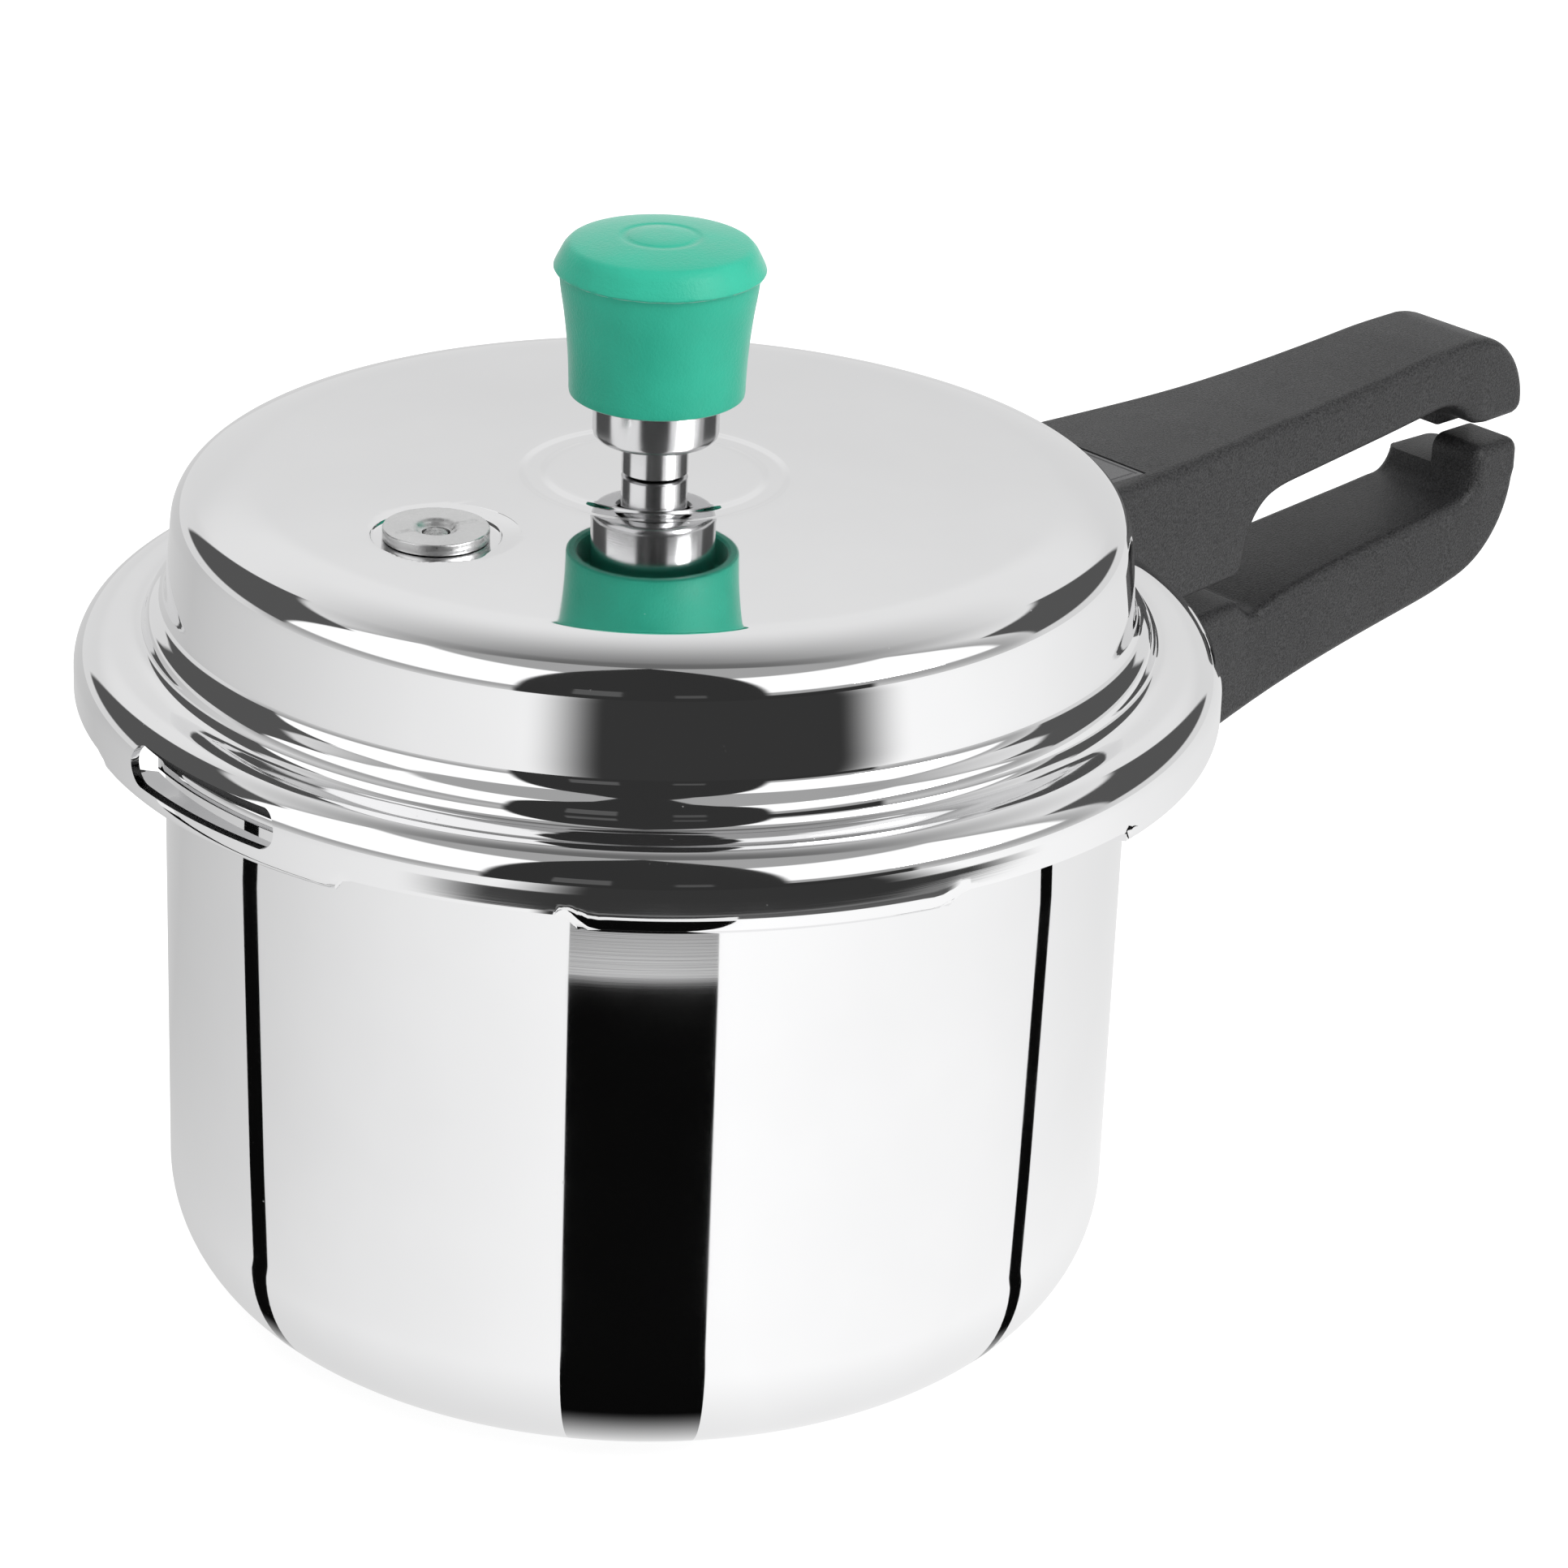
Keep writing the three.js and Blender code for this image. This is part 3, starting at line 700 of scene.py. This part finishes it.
def cut_from(made, *cutters):
    """Cuts closed shapes out of a piece, for good, and removes them."""
    for cutter in cutters:
        cut = made.modifiers.new("cut", "BOOLEAN")
        cut.operation = "DIFFERENCE"
        cut.solver = "MANIFOLD"
        cut.object = cutter
    baked(made)
    for cutter in cutters:
        bpy.data.objects.remove(cutter)


def baked(made):
    """Makes a piece's modifiers part of its mesh."""
    bpy.context.view_layer.update()
    shown = made.evaluated_get(bpy.context.evaluated_depsgraph_get())
    mesh = bpy.data.meshes.new_from_object(shown)
    made.modifiers.clear()
    made.data = mesh


def round_slot(x, length, low, high):
    """A bar along X with a round-ended section, to cut the slot in the skirt."""
    bm = bmesh.new()
    radius = (high - low) / 2
    bmesh.ops.create_circle(bm, cap_ends=True, segments=48, radius=radius * MM)
    for vert in bm.verts:
        vert.co.x += math.copysign((length / 2 - radius) * MM, vert.co.x)
    whole = bmesh.ops.extrude_face_region(bm, geom=bm.faces[:])["geom"]
    tops = [g for g in whole if isinstance(g, bmesh.types.BMVert)]
    bmesh.ops.translate(bm, verts=tops, vec=(0, 0, 14 * MM))
    turn = Matrix.Rotation(math.radians(90), 4, "Y") @ Matrix.Rotation(math.radians(90), 4, "Z")
    bmesh.ops.transform(bm, matrix=turn, verts=bm.verts)
    bmesh.ops.translate(bm, verts=bm.verts, vec=(x * MM, 0, (low + high) / 2 * MM))
    bmesh.ops.recalc_face_normals(bm, faces=bm.faces)
    return bm


lid_polish = polished_steel("lid_polish", (0.86, 0.86, 0.865, 1), 0.015, 0.06, 0.05, 900.0, 0.5)
lid = piece("lid", bm, lid_polish, "lid", ["lid_shell"], 50.0)
slot_bar = linked("slot_bar", round_slot(-119.0, SLOT_LENGTH, SLOT_LOW, SLOT_HIGH), lid_polish)
dimple_profile = [(0, 171.8), (11.9, 171.8), (12.3, 172.0), (12.5, 172.35), (13.4, 172.45)]
dimple_profile += [(14.6, 172.5), (16.2, 172.75), (17.0, 174), (17.0, 178), (0, 178)]
dimple_bm = turned(dimple_profile, 96)
bmesh.ops.translate(dimple_bm, verts=dimple_bm.verts, vec=(PLUG_X * MM, PLUG_Y * MM, 0))
dimple = linked("dimple", dimple_bm, lid_polish)
bore_bm = turned([(0, 160), (5.8, 160), (5.8, 180), (0, 180)], 48)
bmesh.ops.translate(bore_bm, verts=bore_bm.verts, vec=(PLUG_X * MM, PLUG_Y * MM, 0))
bore = linked("bore", bore_bm, lid_polish)
cut_from(lid, slot_bar, dimple, bore)
lid.data.set_sharp_from_angle(angle=math.radians(40))
even = lid.modifiers.new("even", "WEIGHTED_NORMAL")
even.keep_sharp = True
baked(lid)

# ---- Pot handle ----
# A compression-moulded black phenolic grip, screwed to the pot's bracket from below. Its
# near half rises at the tip and its far half stays low, to meet the lid's handle.
HALF_WIDTHS = [(92, 23.5), (122, 20.5), (161, 16.3), (200, 14.4), (235, 13.3), (250, 12.6)]
GRIP_EDGE = 2.5
TONGUE_HALF, TONGUE_END, POT_TONGUE, LID_TONGUE = 13.3, 141.3, 97.0, 144.2
SCREW_AT = {"front": 121.0, "rear": 134.0}


def half_width(x):
    """Half the handles' width at a distance from the pot's middle, eased between stations."""
    total = 0.0
    for near in (x - 7.0, x, x + 7.0):
        near = min(max(near, HALF_WIDTHS[0][0]), HALF_WIDTHS[-1][0])
        for (x0, w0), (x1, w1) in zip(HALF_WIDTHS, HALF_WIDTHS[1:]):
            if near <= x1:
                total += w0 + (w1 - w0) * (near - x0) / (x1 - x0)
                break
    return total / 3


def moulded_grip(outline, edge):
    """A side outline of (x, z) in millimetres given its width, with its long edges rounded."""
    bm = bmesh.new()
    side = bm.faces.new([bm.verts.new((x * MM, -1.0, z * MM)) for x, z in outline])
    whole = bmesh.ops.extrude_face_region(bm, geom=[side])["geom"]
    far = [g for g in whole if isinstance(g, bmesh.types.BMVert)]
    bmesh.ops.translate(bm, verts=far, vec=(0, 2.0, 0))
    bmesh.ops.recalc_face_normals(bm, faces=bm.faces)
    for station in range(24):
        everything = bm.verts[:] + bm.edges[:] + bm.faces[:]
        at = (97.37 + 6.4 * station) * MM
        bmesh.ops.bisect_plane(
            bm, geom=everything, dist=1e-6, plane_co=(at, 0, 0), plane_no=(1, 0, 0)
        )
    bm.normal_update()
    sides = {face: abs(face.normal.y) > 0.5 for face in bm.faces}
    long_edges = [
        e for e in bm.edges if len(e.link_faces) == 2 and sum(sides[f] for f in e.link_faces) == 1
    ]
    for vert in bm.verts:
        vert.co.y = math.copysign(half_width(vert.co.x / MM) * MM, vert.co.y)
    bmesh.ops.bevel(
        bm,
        geom=long_edges,
        offset=edge * MM,
        offset_type="OFFSET",
        segments=5,
        profile=0.5,
        affect="EDGES",
        clamp_overlap=False,
        material=-1,
    )
    bmesh.ops.recalc_face_normals(bm, faces=bm.faces)
    return bm


def block(name, x0, x1, y0, y1, z0, z1, edge=0.0):
    """A block between limits in millimetres, its edges rounded if asked."""
    bm = bmesh.new()
    bmesh.ops.create_cube(bm, size=1.0)
    size = Matrix.Diagonal(((x1 - x0) * MM, (y1 - y0) * MM, (z1 - z0) * MM, 1))
    middle = Vector((x0 + x1, y0 + y1, z0 + z1)) * (MM / 2)
    bmesh.ops.transform(bm, matrix=Matrix.Translation(middle) @ size, verts=bm.verts)
    if edge:
        bmesh.ops.bevel(
            bm,
            geom=bm.edges[:],
            offset=edge * MM,
            segments=3,
            profile=0.5,
            affect="EDGES",
            material=-1,
        )
    return linked(name, bm, bpy.data.materials["moulded_rubber"])


def drill(name, profile, x):
    """A turned shape stood at a distance along X, to cut a hole."""
    bm = turned(profile, 48)
    bmesh.ops.translate(bm, verts=bm.verts, vec=(x * MM, 0, 0))
    return linked(name, bm, bpy.data.materials["moulded_rubber"])


def tongue_room(name, end, low, high):
    """Room in a handle for its bracket, from the wall to a distance along X."""
    return block(name, 85, end, -TONGUE_HALF, TONGUE_HALF, low, high)


def screw_holes(name, low, seat, high):
    """A handle's two screw holes: wide up to the seat of the head, and narrow above it."""
    profile = [(0, low), (4.5, low), (4.5, seat), (2.3, seat), (2.3, high), (0, high)]
    return [drill(name + "_" + place, profile, x) for place, x in SCREW_AT.items()]


phenolic, grip_tree, grip_surface = shader("black_phenolic")
grip_place = grip_tree.nodes.new("ShaderNodeTexCoord")
grip_place = grip_place.outputs["Object"]
grain = noise_texture(grip_tree, grip_place, 2600.0, 2.0, 0.6).outputs["Fac"]
cloud = noise_texture(grip_tree, grip_place, 60.0, 3.0, 0.6).outputs["Fac"]
speckle = ranged(grip_tree, grain, 0.35, 0.65, 0.0, 1.0)
two_tone(
    grip_tree, grip_surface, speckle, (0.006, 0.006, 0.0063, 1), (0.034, 0.034, 0.035, 1)
)
grip_surface.inputs["Specular IOR Level"].default_value = 0.27
grained(grip_tree, grip_surface, cloud, (0.35, 0.65), (0.39, 0.43), grain, 0.9, 0.00018)

pot_grip = smooth_path([(92, 75.5), (120, 79.6), (150, 85.6), (180, 91.4), (209, 95.6)], 6)[:-1]
pot_grip += smooth_path([(209, 95.6), (220, 97.2), (228, 99.0)], 3)[:-1]
pot_grip += arc(223.8, 121.8, 23.2, -76, -6, 14)
pot_grip += [(247.5, 121.5)] + arc(244.3, 125.8, 3.2, 0, 90, 6)
pot_grip += arc(235.8, 125.8, 3.2, 90, 180, 6)
pot_grip += [(232.6, 124.2)] + arc(226.8, 123.6, 5.8, -4, -80, 8)
pot_grip += smooth_path(
    [(225.4, 117.75), (217, 116.9), (207, 116), (187, 114.0), (172, 111.9), (164, 110.2)], 4
)[:-1]
pot_grip += smooth_path([(164, 110.2), (160.4, 109.4), (157.6, 109.9), (155.4, 111.6)], 4)
pot_grip += [(153.6, 113.1), (152.6, 113.4), (120, 113.4), (92, 113.4)]
pot_handle = piece(
    "pot_handle",
    moulded_grip(pot_grip, GRIP_EDGE),
    phenolic,
    "pot",
    ["pot_handle"],
    50.0,
)
pot_cutters = [
    block("far_step", 225.5, 262, 0, 24, 122.6, 140),
    drill("pot_room", [(0, 60), (95.5, 60), (95.5, 130), (0, 130)], 0.0),
    tongue_room("pot_tongue_slot", TONGUE_END, POT_TONGUE - 0.3, POT_TONGUE + 2.8),
    tongue_room("pot_saddle_room", 98.6, 85.5, 108.5),
]
cut_from(pot_handle, *pot_cutters, *screw_holes("pot_hole", 70, 87.5, 103.6))


def soften(made, width, limit):
    """Rounds off the sharp edges that cutting left on a piece."""
    edge = made.modifiers.new("soften", "BEVEL")
    edge.width = width * MM
    edge.segments = 3
    edge.limit_method = "ANGLE"
    edge.angle_limit = math.radians(limit)
    edge.use_clamp_overlap = True
    baked(made)
    made.data.set_sharp_from_angle(angle=math.radians(50))


soften(pot_handle, 0.7, 55)

# ---- Lid handle ----
# The lid's grip is the pot handle's match: a deep block at the root that carries the
# bracket's tongue, a flat top that swells to a round tip, and a post on its far half.
# A shallow tray beside the lid holds a smooth plate.
lid_grip = [(92, 119.3), (120, 119.3)] + arc(150.8, 122.7, 3.4, -90, -12, 6)
lid_grip += smooth_path(
    [(154.5, 124.0), (155.5, 127.6), (157.4, 131.4), (160.8, 134.4), (166, 136.1), (175, 137.0)], 4
)[:-1]
lid_grip += smooth_path([(175, 137.0), (183, 137.7), (200, 139.2), (212, 140.5)], 3)[:-1]
lid_grip += smooth_path(
    [(212, 140.5), (218, 141.2), (222.6, 141.0), (226.2, 139.5), (229.2, 136.9), (232.2, 135.0)], 4
)
lid_grip += [(235.5, 134.5)] + arc(244.3, 137.8, 3.3, -90, -6, 6)
lid_grip += arc(229.8, 137.2, 17.9, 8, 84, 16)
lid_grip += smooth_path(
    [(230.4, 155.15), (218, 154.7), (205, 153.6), (178, 151.6), (150, 150.6), (120, 150.2)], 4
)
lid_grip += [(92, 150.2)]
lid_handle = piece(
    "lid_handle",
    moulded_grip(lid_grip, GRIP_EDGE),
    phenolic,
    "lid",
    ["lid_handle"],
    50.0,
)
far_post = block("far_post", 234, 246, 0.2, 11.5, 130.5, 139, 0.9)
join = lid_handle.modifiers.new("join", "BOOLEAN")
join.operation = "UNION"
join.solver = "MANIFOLD"
join.object = far_post
baked(lid_handle)
bpy.data.objects.remove(far_post)
over_lid = inward(lid_outside, -0.45)
over_lid = [p for p in over_lid if p[0] > 80.0 and p[1] > 133.9]
room_profile = [(60, 110), (112.95, 110)] + over_lid[::-1] + [(60, over_lid[0][1])]
lid_cutters = [
    linked("lid_room", turned(room_profile, 240), phenolic),
    tongue_room("lid_tongue_slot", TONGUE_END, LID_TONGUE - 0.3, LID_TONGUE + 2.8),
    tongue_room("lid_saddle_room", 99.2, LID_TONGUE - 0.3, 171),
    block("plate_tray", 98.5, 121.5, -17, 17, 148.7, 160),
]
cut_from(lid_handle, *lid_cutters, *screw_holes("lid_hole", 110, 126.3, 148.6))
soften(lid_handle, 0.5, 55)

# ---- Plate in the lid handle ----
# A smooth dark plate, pressed into the tray, with a fine raised border and nothing on it.
plate_paint, plate_tree, plate_surface = shader("plate_lacquer")
plate_surface.inputs["Base Color"].default_value = (0.045, 0.045, 0.047, 1)
plate_place = plate_tree.nodes.new("ShaderNodeTexCoord")
grain = noise_texture(plate_tree, plate_place.outputs["Object"], 1400.0, 2.0).outputs["Fac"]
grained(plate_tree, plate_surface, grain, (0.3, 0.7), (0.2, 0.34), grain, 0.15, 0.00005)
low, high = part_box("lid_handle_inlay")
bm = bmesh.new()
bmesh.ops.create_cube(bm, size=1.0)
size = high - low
bmesh.ops.transform(
    bm,
    matrix=Matrix.Translation((low + high) / 2) @ Matrix.Diagonal((size.x, size.y, size.z, 1)),
    verts=bm.verts,
)
bmesh.ops.bevel(
    bm, geom=bm.edges[:], offset=0.25 * MM, segments=2, profile=0.5, affect="EDGES", material=-1
)
tops = [f for f in bm.faces if f.normal.z > 0.99]
for thickness, depth in ((1.0, 0.0), (0.35, -0.15), (0.6, 0.0), (0.35, 0.15)):
    bmesh.ops.inset_region(bm, faces=tops, thickness=thickness * MM, depth=depth * MM)
piece("plate", bm, plate_paint, "lid", ["lid_handle_inlay"], 30.0)

# ---- Brackets and handle screws ----
# Each bracket is pressed steel, welded to the wall, with a tongue inside the handle. Two
# zinc-plated pan-head screws hold each handle to its tongue from below.


def worked_metal(name, colour, low, high, scale, bump):
    """Plain metal with a fine even grain from rolling, plating or cutting."""
    material, tree, surface = shader(name)
    surface.inputs["Metallic"].default_value = 1.0
    place = tree.nodes.new("ShaderNodeTexCoord")
    grain = noise_texture(tree, place.outputs["Object"], scale, 3.0, 0.6).outputs["Fac"]
    cloud = noise_texture(tree, place.outputs["Object"], scale / 12, 2.0, 0.5).outputs["Fac"]
    two_tone(tree, surface, cloud, darker(colour, 0.82), colour)
    grained(tree, surface, grain, (0.3, 0.7), (low, high), grain, bump, 0.00008)
    return material


bracket_metal = worked_metal("bracket_metal", (0.45, 0.45, 0.45, 1), 0.28, 0.42, 900.0, 0.25)
for node in ("pot_handle_bracket", "lid_handle_bracket"):
    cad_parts[node].material_slots[0].material = bracket_metal
zinc = worked_metal("zinc_plate", (0.62, 0.62, 0.63, 1), 0.2, 0.34, 1500.0, 0.15)
for node, x, head, tip in [
    ("pot_handle_screw_front", SCREW_AT["front"], 84.0, 103.0),
    ("pot_handle_screw_rear", SCREW_AT["rear"], 84.0, 103.0),
    ("lid_handle_screw_front", SCREW_AT["front"], 123.0, 148.0),
    ("lid_handle_screw_rear", SCREW_AT["rear"], 123.0, 148.0),
]:
    screw_profile = [(0, head), (2.2, head + 0.05), (3.4, head + 0.35), (4.05, head + 1.1)]
    screw_profile += [(4.2, head + 1.9), (4.2, head + 2.85), (4.05, head + 3.0), (1.95, head + 3.0)]
    turns = int((tip - head - 4.5) / 0.8)
    for i in range(turns):
        screw_profile += [(1.95, head + 3.6 + 0.8 * i), (1.6, head + 4.0 + 0.8 * i)]
    screw_profile += [(1.6, tip - 0.6), (1.1, tip), (0, tip)]
    bm = turned(screw_profile, 40)
    bmesh.ops.translate(bm, verts=bm.verts, vec=(x * MM, 0, 0))
    body = "pot" if node.startswith("pot") else "lid"
    made = piece(node + "_detail", bm, zinc, body, [node], 35.0)
    cut_from(
        made,
        block("drive_along", x - 2.4, x + 2.4, -0.5, 0.5, head - 1, head + 1.6),
        block("drive_across", x - 0.5, x + 0.5, -2.4, 2.4, head - 1, head + 1.6),
    )
    made.data.set_sharp_from_angle(angle=math.radians(35))

# ---- Vent tube, its seal and nut ----
# A turned stainless tube that stands on the lid, with a coned seat at its top for the
# needle. A rubber washer and a brass nut hold it from inside.
turned_bright = polished_steel("turned_bright", (0.70, 0.70, 0.705, 1), 0.12, 0.24, 0.5, 2600.0)
vent_profile = [(1.6, 160), (4.6, 160), (5.0, 160.4), (5.0, 173.05), (6.1, 173.3), (6.5, 173.6)]
vent_profile += [(6.5, 181.3), (6.3, 181.5), (6.3, 181.9), (6.5, 182.1), (6.5, 188.4)]
vent_profile += [(6.3, 188.9), (5.4, 189.8), (5.0, 190.0), (3.6, 190.0), (3.3, 189.7), (1.6, 187)]
piece("vent_tube", turned(vent_profile, 96), turned_bright, "lid", ["vent_tube"])
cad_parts["vent_seal"].material_slots[0].material = rubber
brass = worked_metal("machined_brass", (0.66, 0.50, 0.24, 1), 0.24, 0.4, 1200.0, 0.2)
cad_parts["vent_nut"].material_slots[0].material = brass

# ---- Safety plug ----
# A turned aluminium plug in a shallow dimple, on a rubber seal, held by a nut inside the
# lid. Its middle is filled with a rough cast alloy that melts if the pot boils dry.
satin = worked_metal("satin_aluminium", (0.74, 0.74, 0.74, 1), 0.26, 0.4, 1400.0, 0.3)
plug_profile = [(2.7, 160.5), (5.2, 160.5), (5.5, 160.8), (5.5, 172.8), (8.9, 172.8)]
plug_profile += [(9.1, 171.95), (10.0, 171.95), (10.15, 172.1), (10.15, 173.95)]
plug_profile += [(10.05, 174.12), (9.85, 174.2)]
plug_profile += [(9.6 - 0.35 * i, 174.2) for i in range(14)]
plug_profile += [(4.7, 174.17), (4.2, 174.0), (3.7, 173.6), (3.2, 173.2), (2.7, 173.0)]
GROOVE_TURN = math.radians(-15.7)
bm = turned(plug_profile, 120)
for vert in bm.verts:
    if vert.co.z > 0.1731:
        spot = Vector((vert.co.x * 900, vert.co.y * 900, 3.1))
        vert.co.z -= 0.07 * MM * (0.5 + 0.5 * noise.noise(spot))
        across = vert.co.y * math.cos(GROOVE_TURN) - vert.co.x * math.sin(GROOVE_TURN)
        groove = max(0.0, 1.0 - abs(across / MM) / 0.9)
        if vert.co.xy.length < 8.3 * MM:
            vert.co.z -= groove * MM * (0.22 + 0.2 * noise.noise(spot * 1.7))
bmesh.ops.translate(bm, verts=bm.verts, vec=(PLUG_X * MM, PLUG_Y * MM, 0))
piece("plug", bm, satin, "lid", ["plug_body"])
alloy, alloy_tree, alloy_surface = shader("cast_alloy")
alloy_surface.inputs["Metallic"].default_value = 1.0
alloy_surface.inputs["Base Color"].default_value = (0.6, 0.6, 0.6, 1)
alloy_place = alloy_tree.nodes.new("ShaderNodeTexCoord")
alloy_place = alloy_place.outputs["Object"]
grain = noise_texture(alloy_tree, alloy_place, 900.0, 4.0, 0.7).outputs["Fac"]
grained(alloy_tree, alloy_surface, grain, (0.3, 0.7), (0.25, 0.6), grain, 0.7, 0.0003)
alloy_profile = [(0, 161), (2.4, 161), (2.4, 172.5), (2.2, 172.9), (1.6, 173.2), (0.9, 173.35)]
alloy_profile += [(0.4, 173.4), (0, 173.4)]
bm = turned(alloy_profile, 48)
bmesh.ops.subdivide_edges(
    bm, edges=[e for e in bm.edges if min(v.co.z for v in e.verts) > 0.1724], cuts=2
)
for vert in bm.verts:
    if vert.co.z > 0.1724:
        spot = Vector((vert.co.x * 1500, vert.co.y * 1500, 7.0))
        vert.co.z += 0.28 * MM * noise.noise(spot)
bmesh.ops.translate(bm, verts=bm.verts, vec=(PLUG_X * MM, PLUG_Y * MM, 0))
piece("plug_filling", bm, alloy, "lid", ["plug_alloy"])
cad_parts["plug_seal"].material_slots[0].material = rubber
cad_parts["plug_nut"].material_slots[0].material = satin

# ---- Weight ----
# The weight is a turned stainless slug, open below to fit over the vent tube, with a
# needle that hangs in it and closes the tube's bore.
weight_profile = [(7.3, 180.9), (7.8, 180.4), (10.9, 180.4), (11.6, 180.65), (12.1, 181.2)]
weight_profile += [(12.3, 182.0), (12.3, 211.0), (12.0, 211.7), (11.3, 212.0), (0, 212.0)]
weight_profile += [(0, 205.3), (1.6, 205.3), (1.6, 196.0), (3.2, 195.5), (3.2, 192.1)]
weight_profile += [(7.3, 191.5)]
piece(
    "weight_slug", turned(weight_profile, 128), turned_bright, "weight",
    ["weight_body"],
)
needle_profile = [(0, 188.3), (1.0, 189.1), (2.6, 190.9), (2.9, 191.7), (2.9, 193.7)]
needle_profile += [(2.6, 194.0), (1.3, 194.5), (1.3, 204.6), (1.0, 205.0), (0, 205.0)]
piece(
    "needle", turned(needle_profile, 48), turned_bright, "needle",
    ["weight_needle"],
)

# ---- Weight cap ----
# A heat-proof green moulding pushed over the slug, so that it can be lifted off hot. The
# mould's parting line left a slightly rough lip, and the top has a plain shallow ring.
green, green_tree, green_surface = shader("green_moulding")
green_place = green_tree.nodes.new("ShaderNodeTexCoord")
green_place = green_place.outputs["Object"]
grain = noise_texture(green_tree, green_place, 1600.0, 3.0, 0.6).outputs["Fac"]
cloud = noise_texture(green_tree, green_place, 90.0, 3.0, 0.55).outputs["Fac"]
two_tone(green_tree, green_surface, cloud, (0.010, 0.275, 0.18, 1), (0.016, 0.35, 0.235, 1))
grained(green_tree, green_surface, cloud, (0.35, 0.65), (0.42, 0.56), grain, 0.6, 0.00016)
green_surface.inputs["Specular IOR Level"].default_value = 0.3
green_surface.inputs["Sheen Weight"].default_value = 0.4
green_surface.inputs["Sheen Roughness"].default_value = 0.35
cap_profile = [(15.0, 190.0), (15.5, 189.55), (16.6, 189.5), (17.0, 189.8), (17.1, 190.4)]
cap_profile += smooth_path(
    [(17.12, 191.6), (17.3, 196.0), (17.7, 201.0), (18.3, 206.0), (19.0, 210.5), (19.35, 213.6)], 4
)
cap_profile += [(19.5, 214.1), (20.0, 214.35), (20.35, 214.5), (20.5, 214.8), (20.4, 215.2)]
cap_profile += smooth_path([(20.2, 215.6), (19.5, 217.0), (18.7, 218.5), (17.8, 219.5)], 3)
cap_profile += smooth_path([(17.3, 219.8), (15.5, 220.2), (12.0, 220.7), (8.2, 221.05)], 3)
cap_profile += [(7.9, 221.0), (7.6, 220.9), (6.6, 220.95), (6.3, 221.1), (6.0, 221.2)]
cap_profile += [(3.0, 221.35), (0, 221.4), (0, 212.3), (12.6, 212.3), (12.6, 199), (15.0, 196)]
bm = turned(cap_profile, 160)
for vert in bm.verts:
    reach = math.hypot(vert.co.x, vert.co.y)
    if reach > 0.01945 and 0.2138 < vert.co.z < 0.2156:
        spot = vert.co * 700
        vert.co.z += 0.10 * MM * noise.noise(spot)
        shrink = 1 - 0.004 * (0.5 + 0.5 * noise.noise(spot * 1.7))
        vert.co.x *= shrink
        vert.co.y *= shrink
piece("weight_cap", bm, green, "weight", ["weight_cap"])
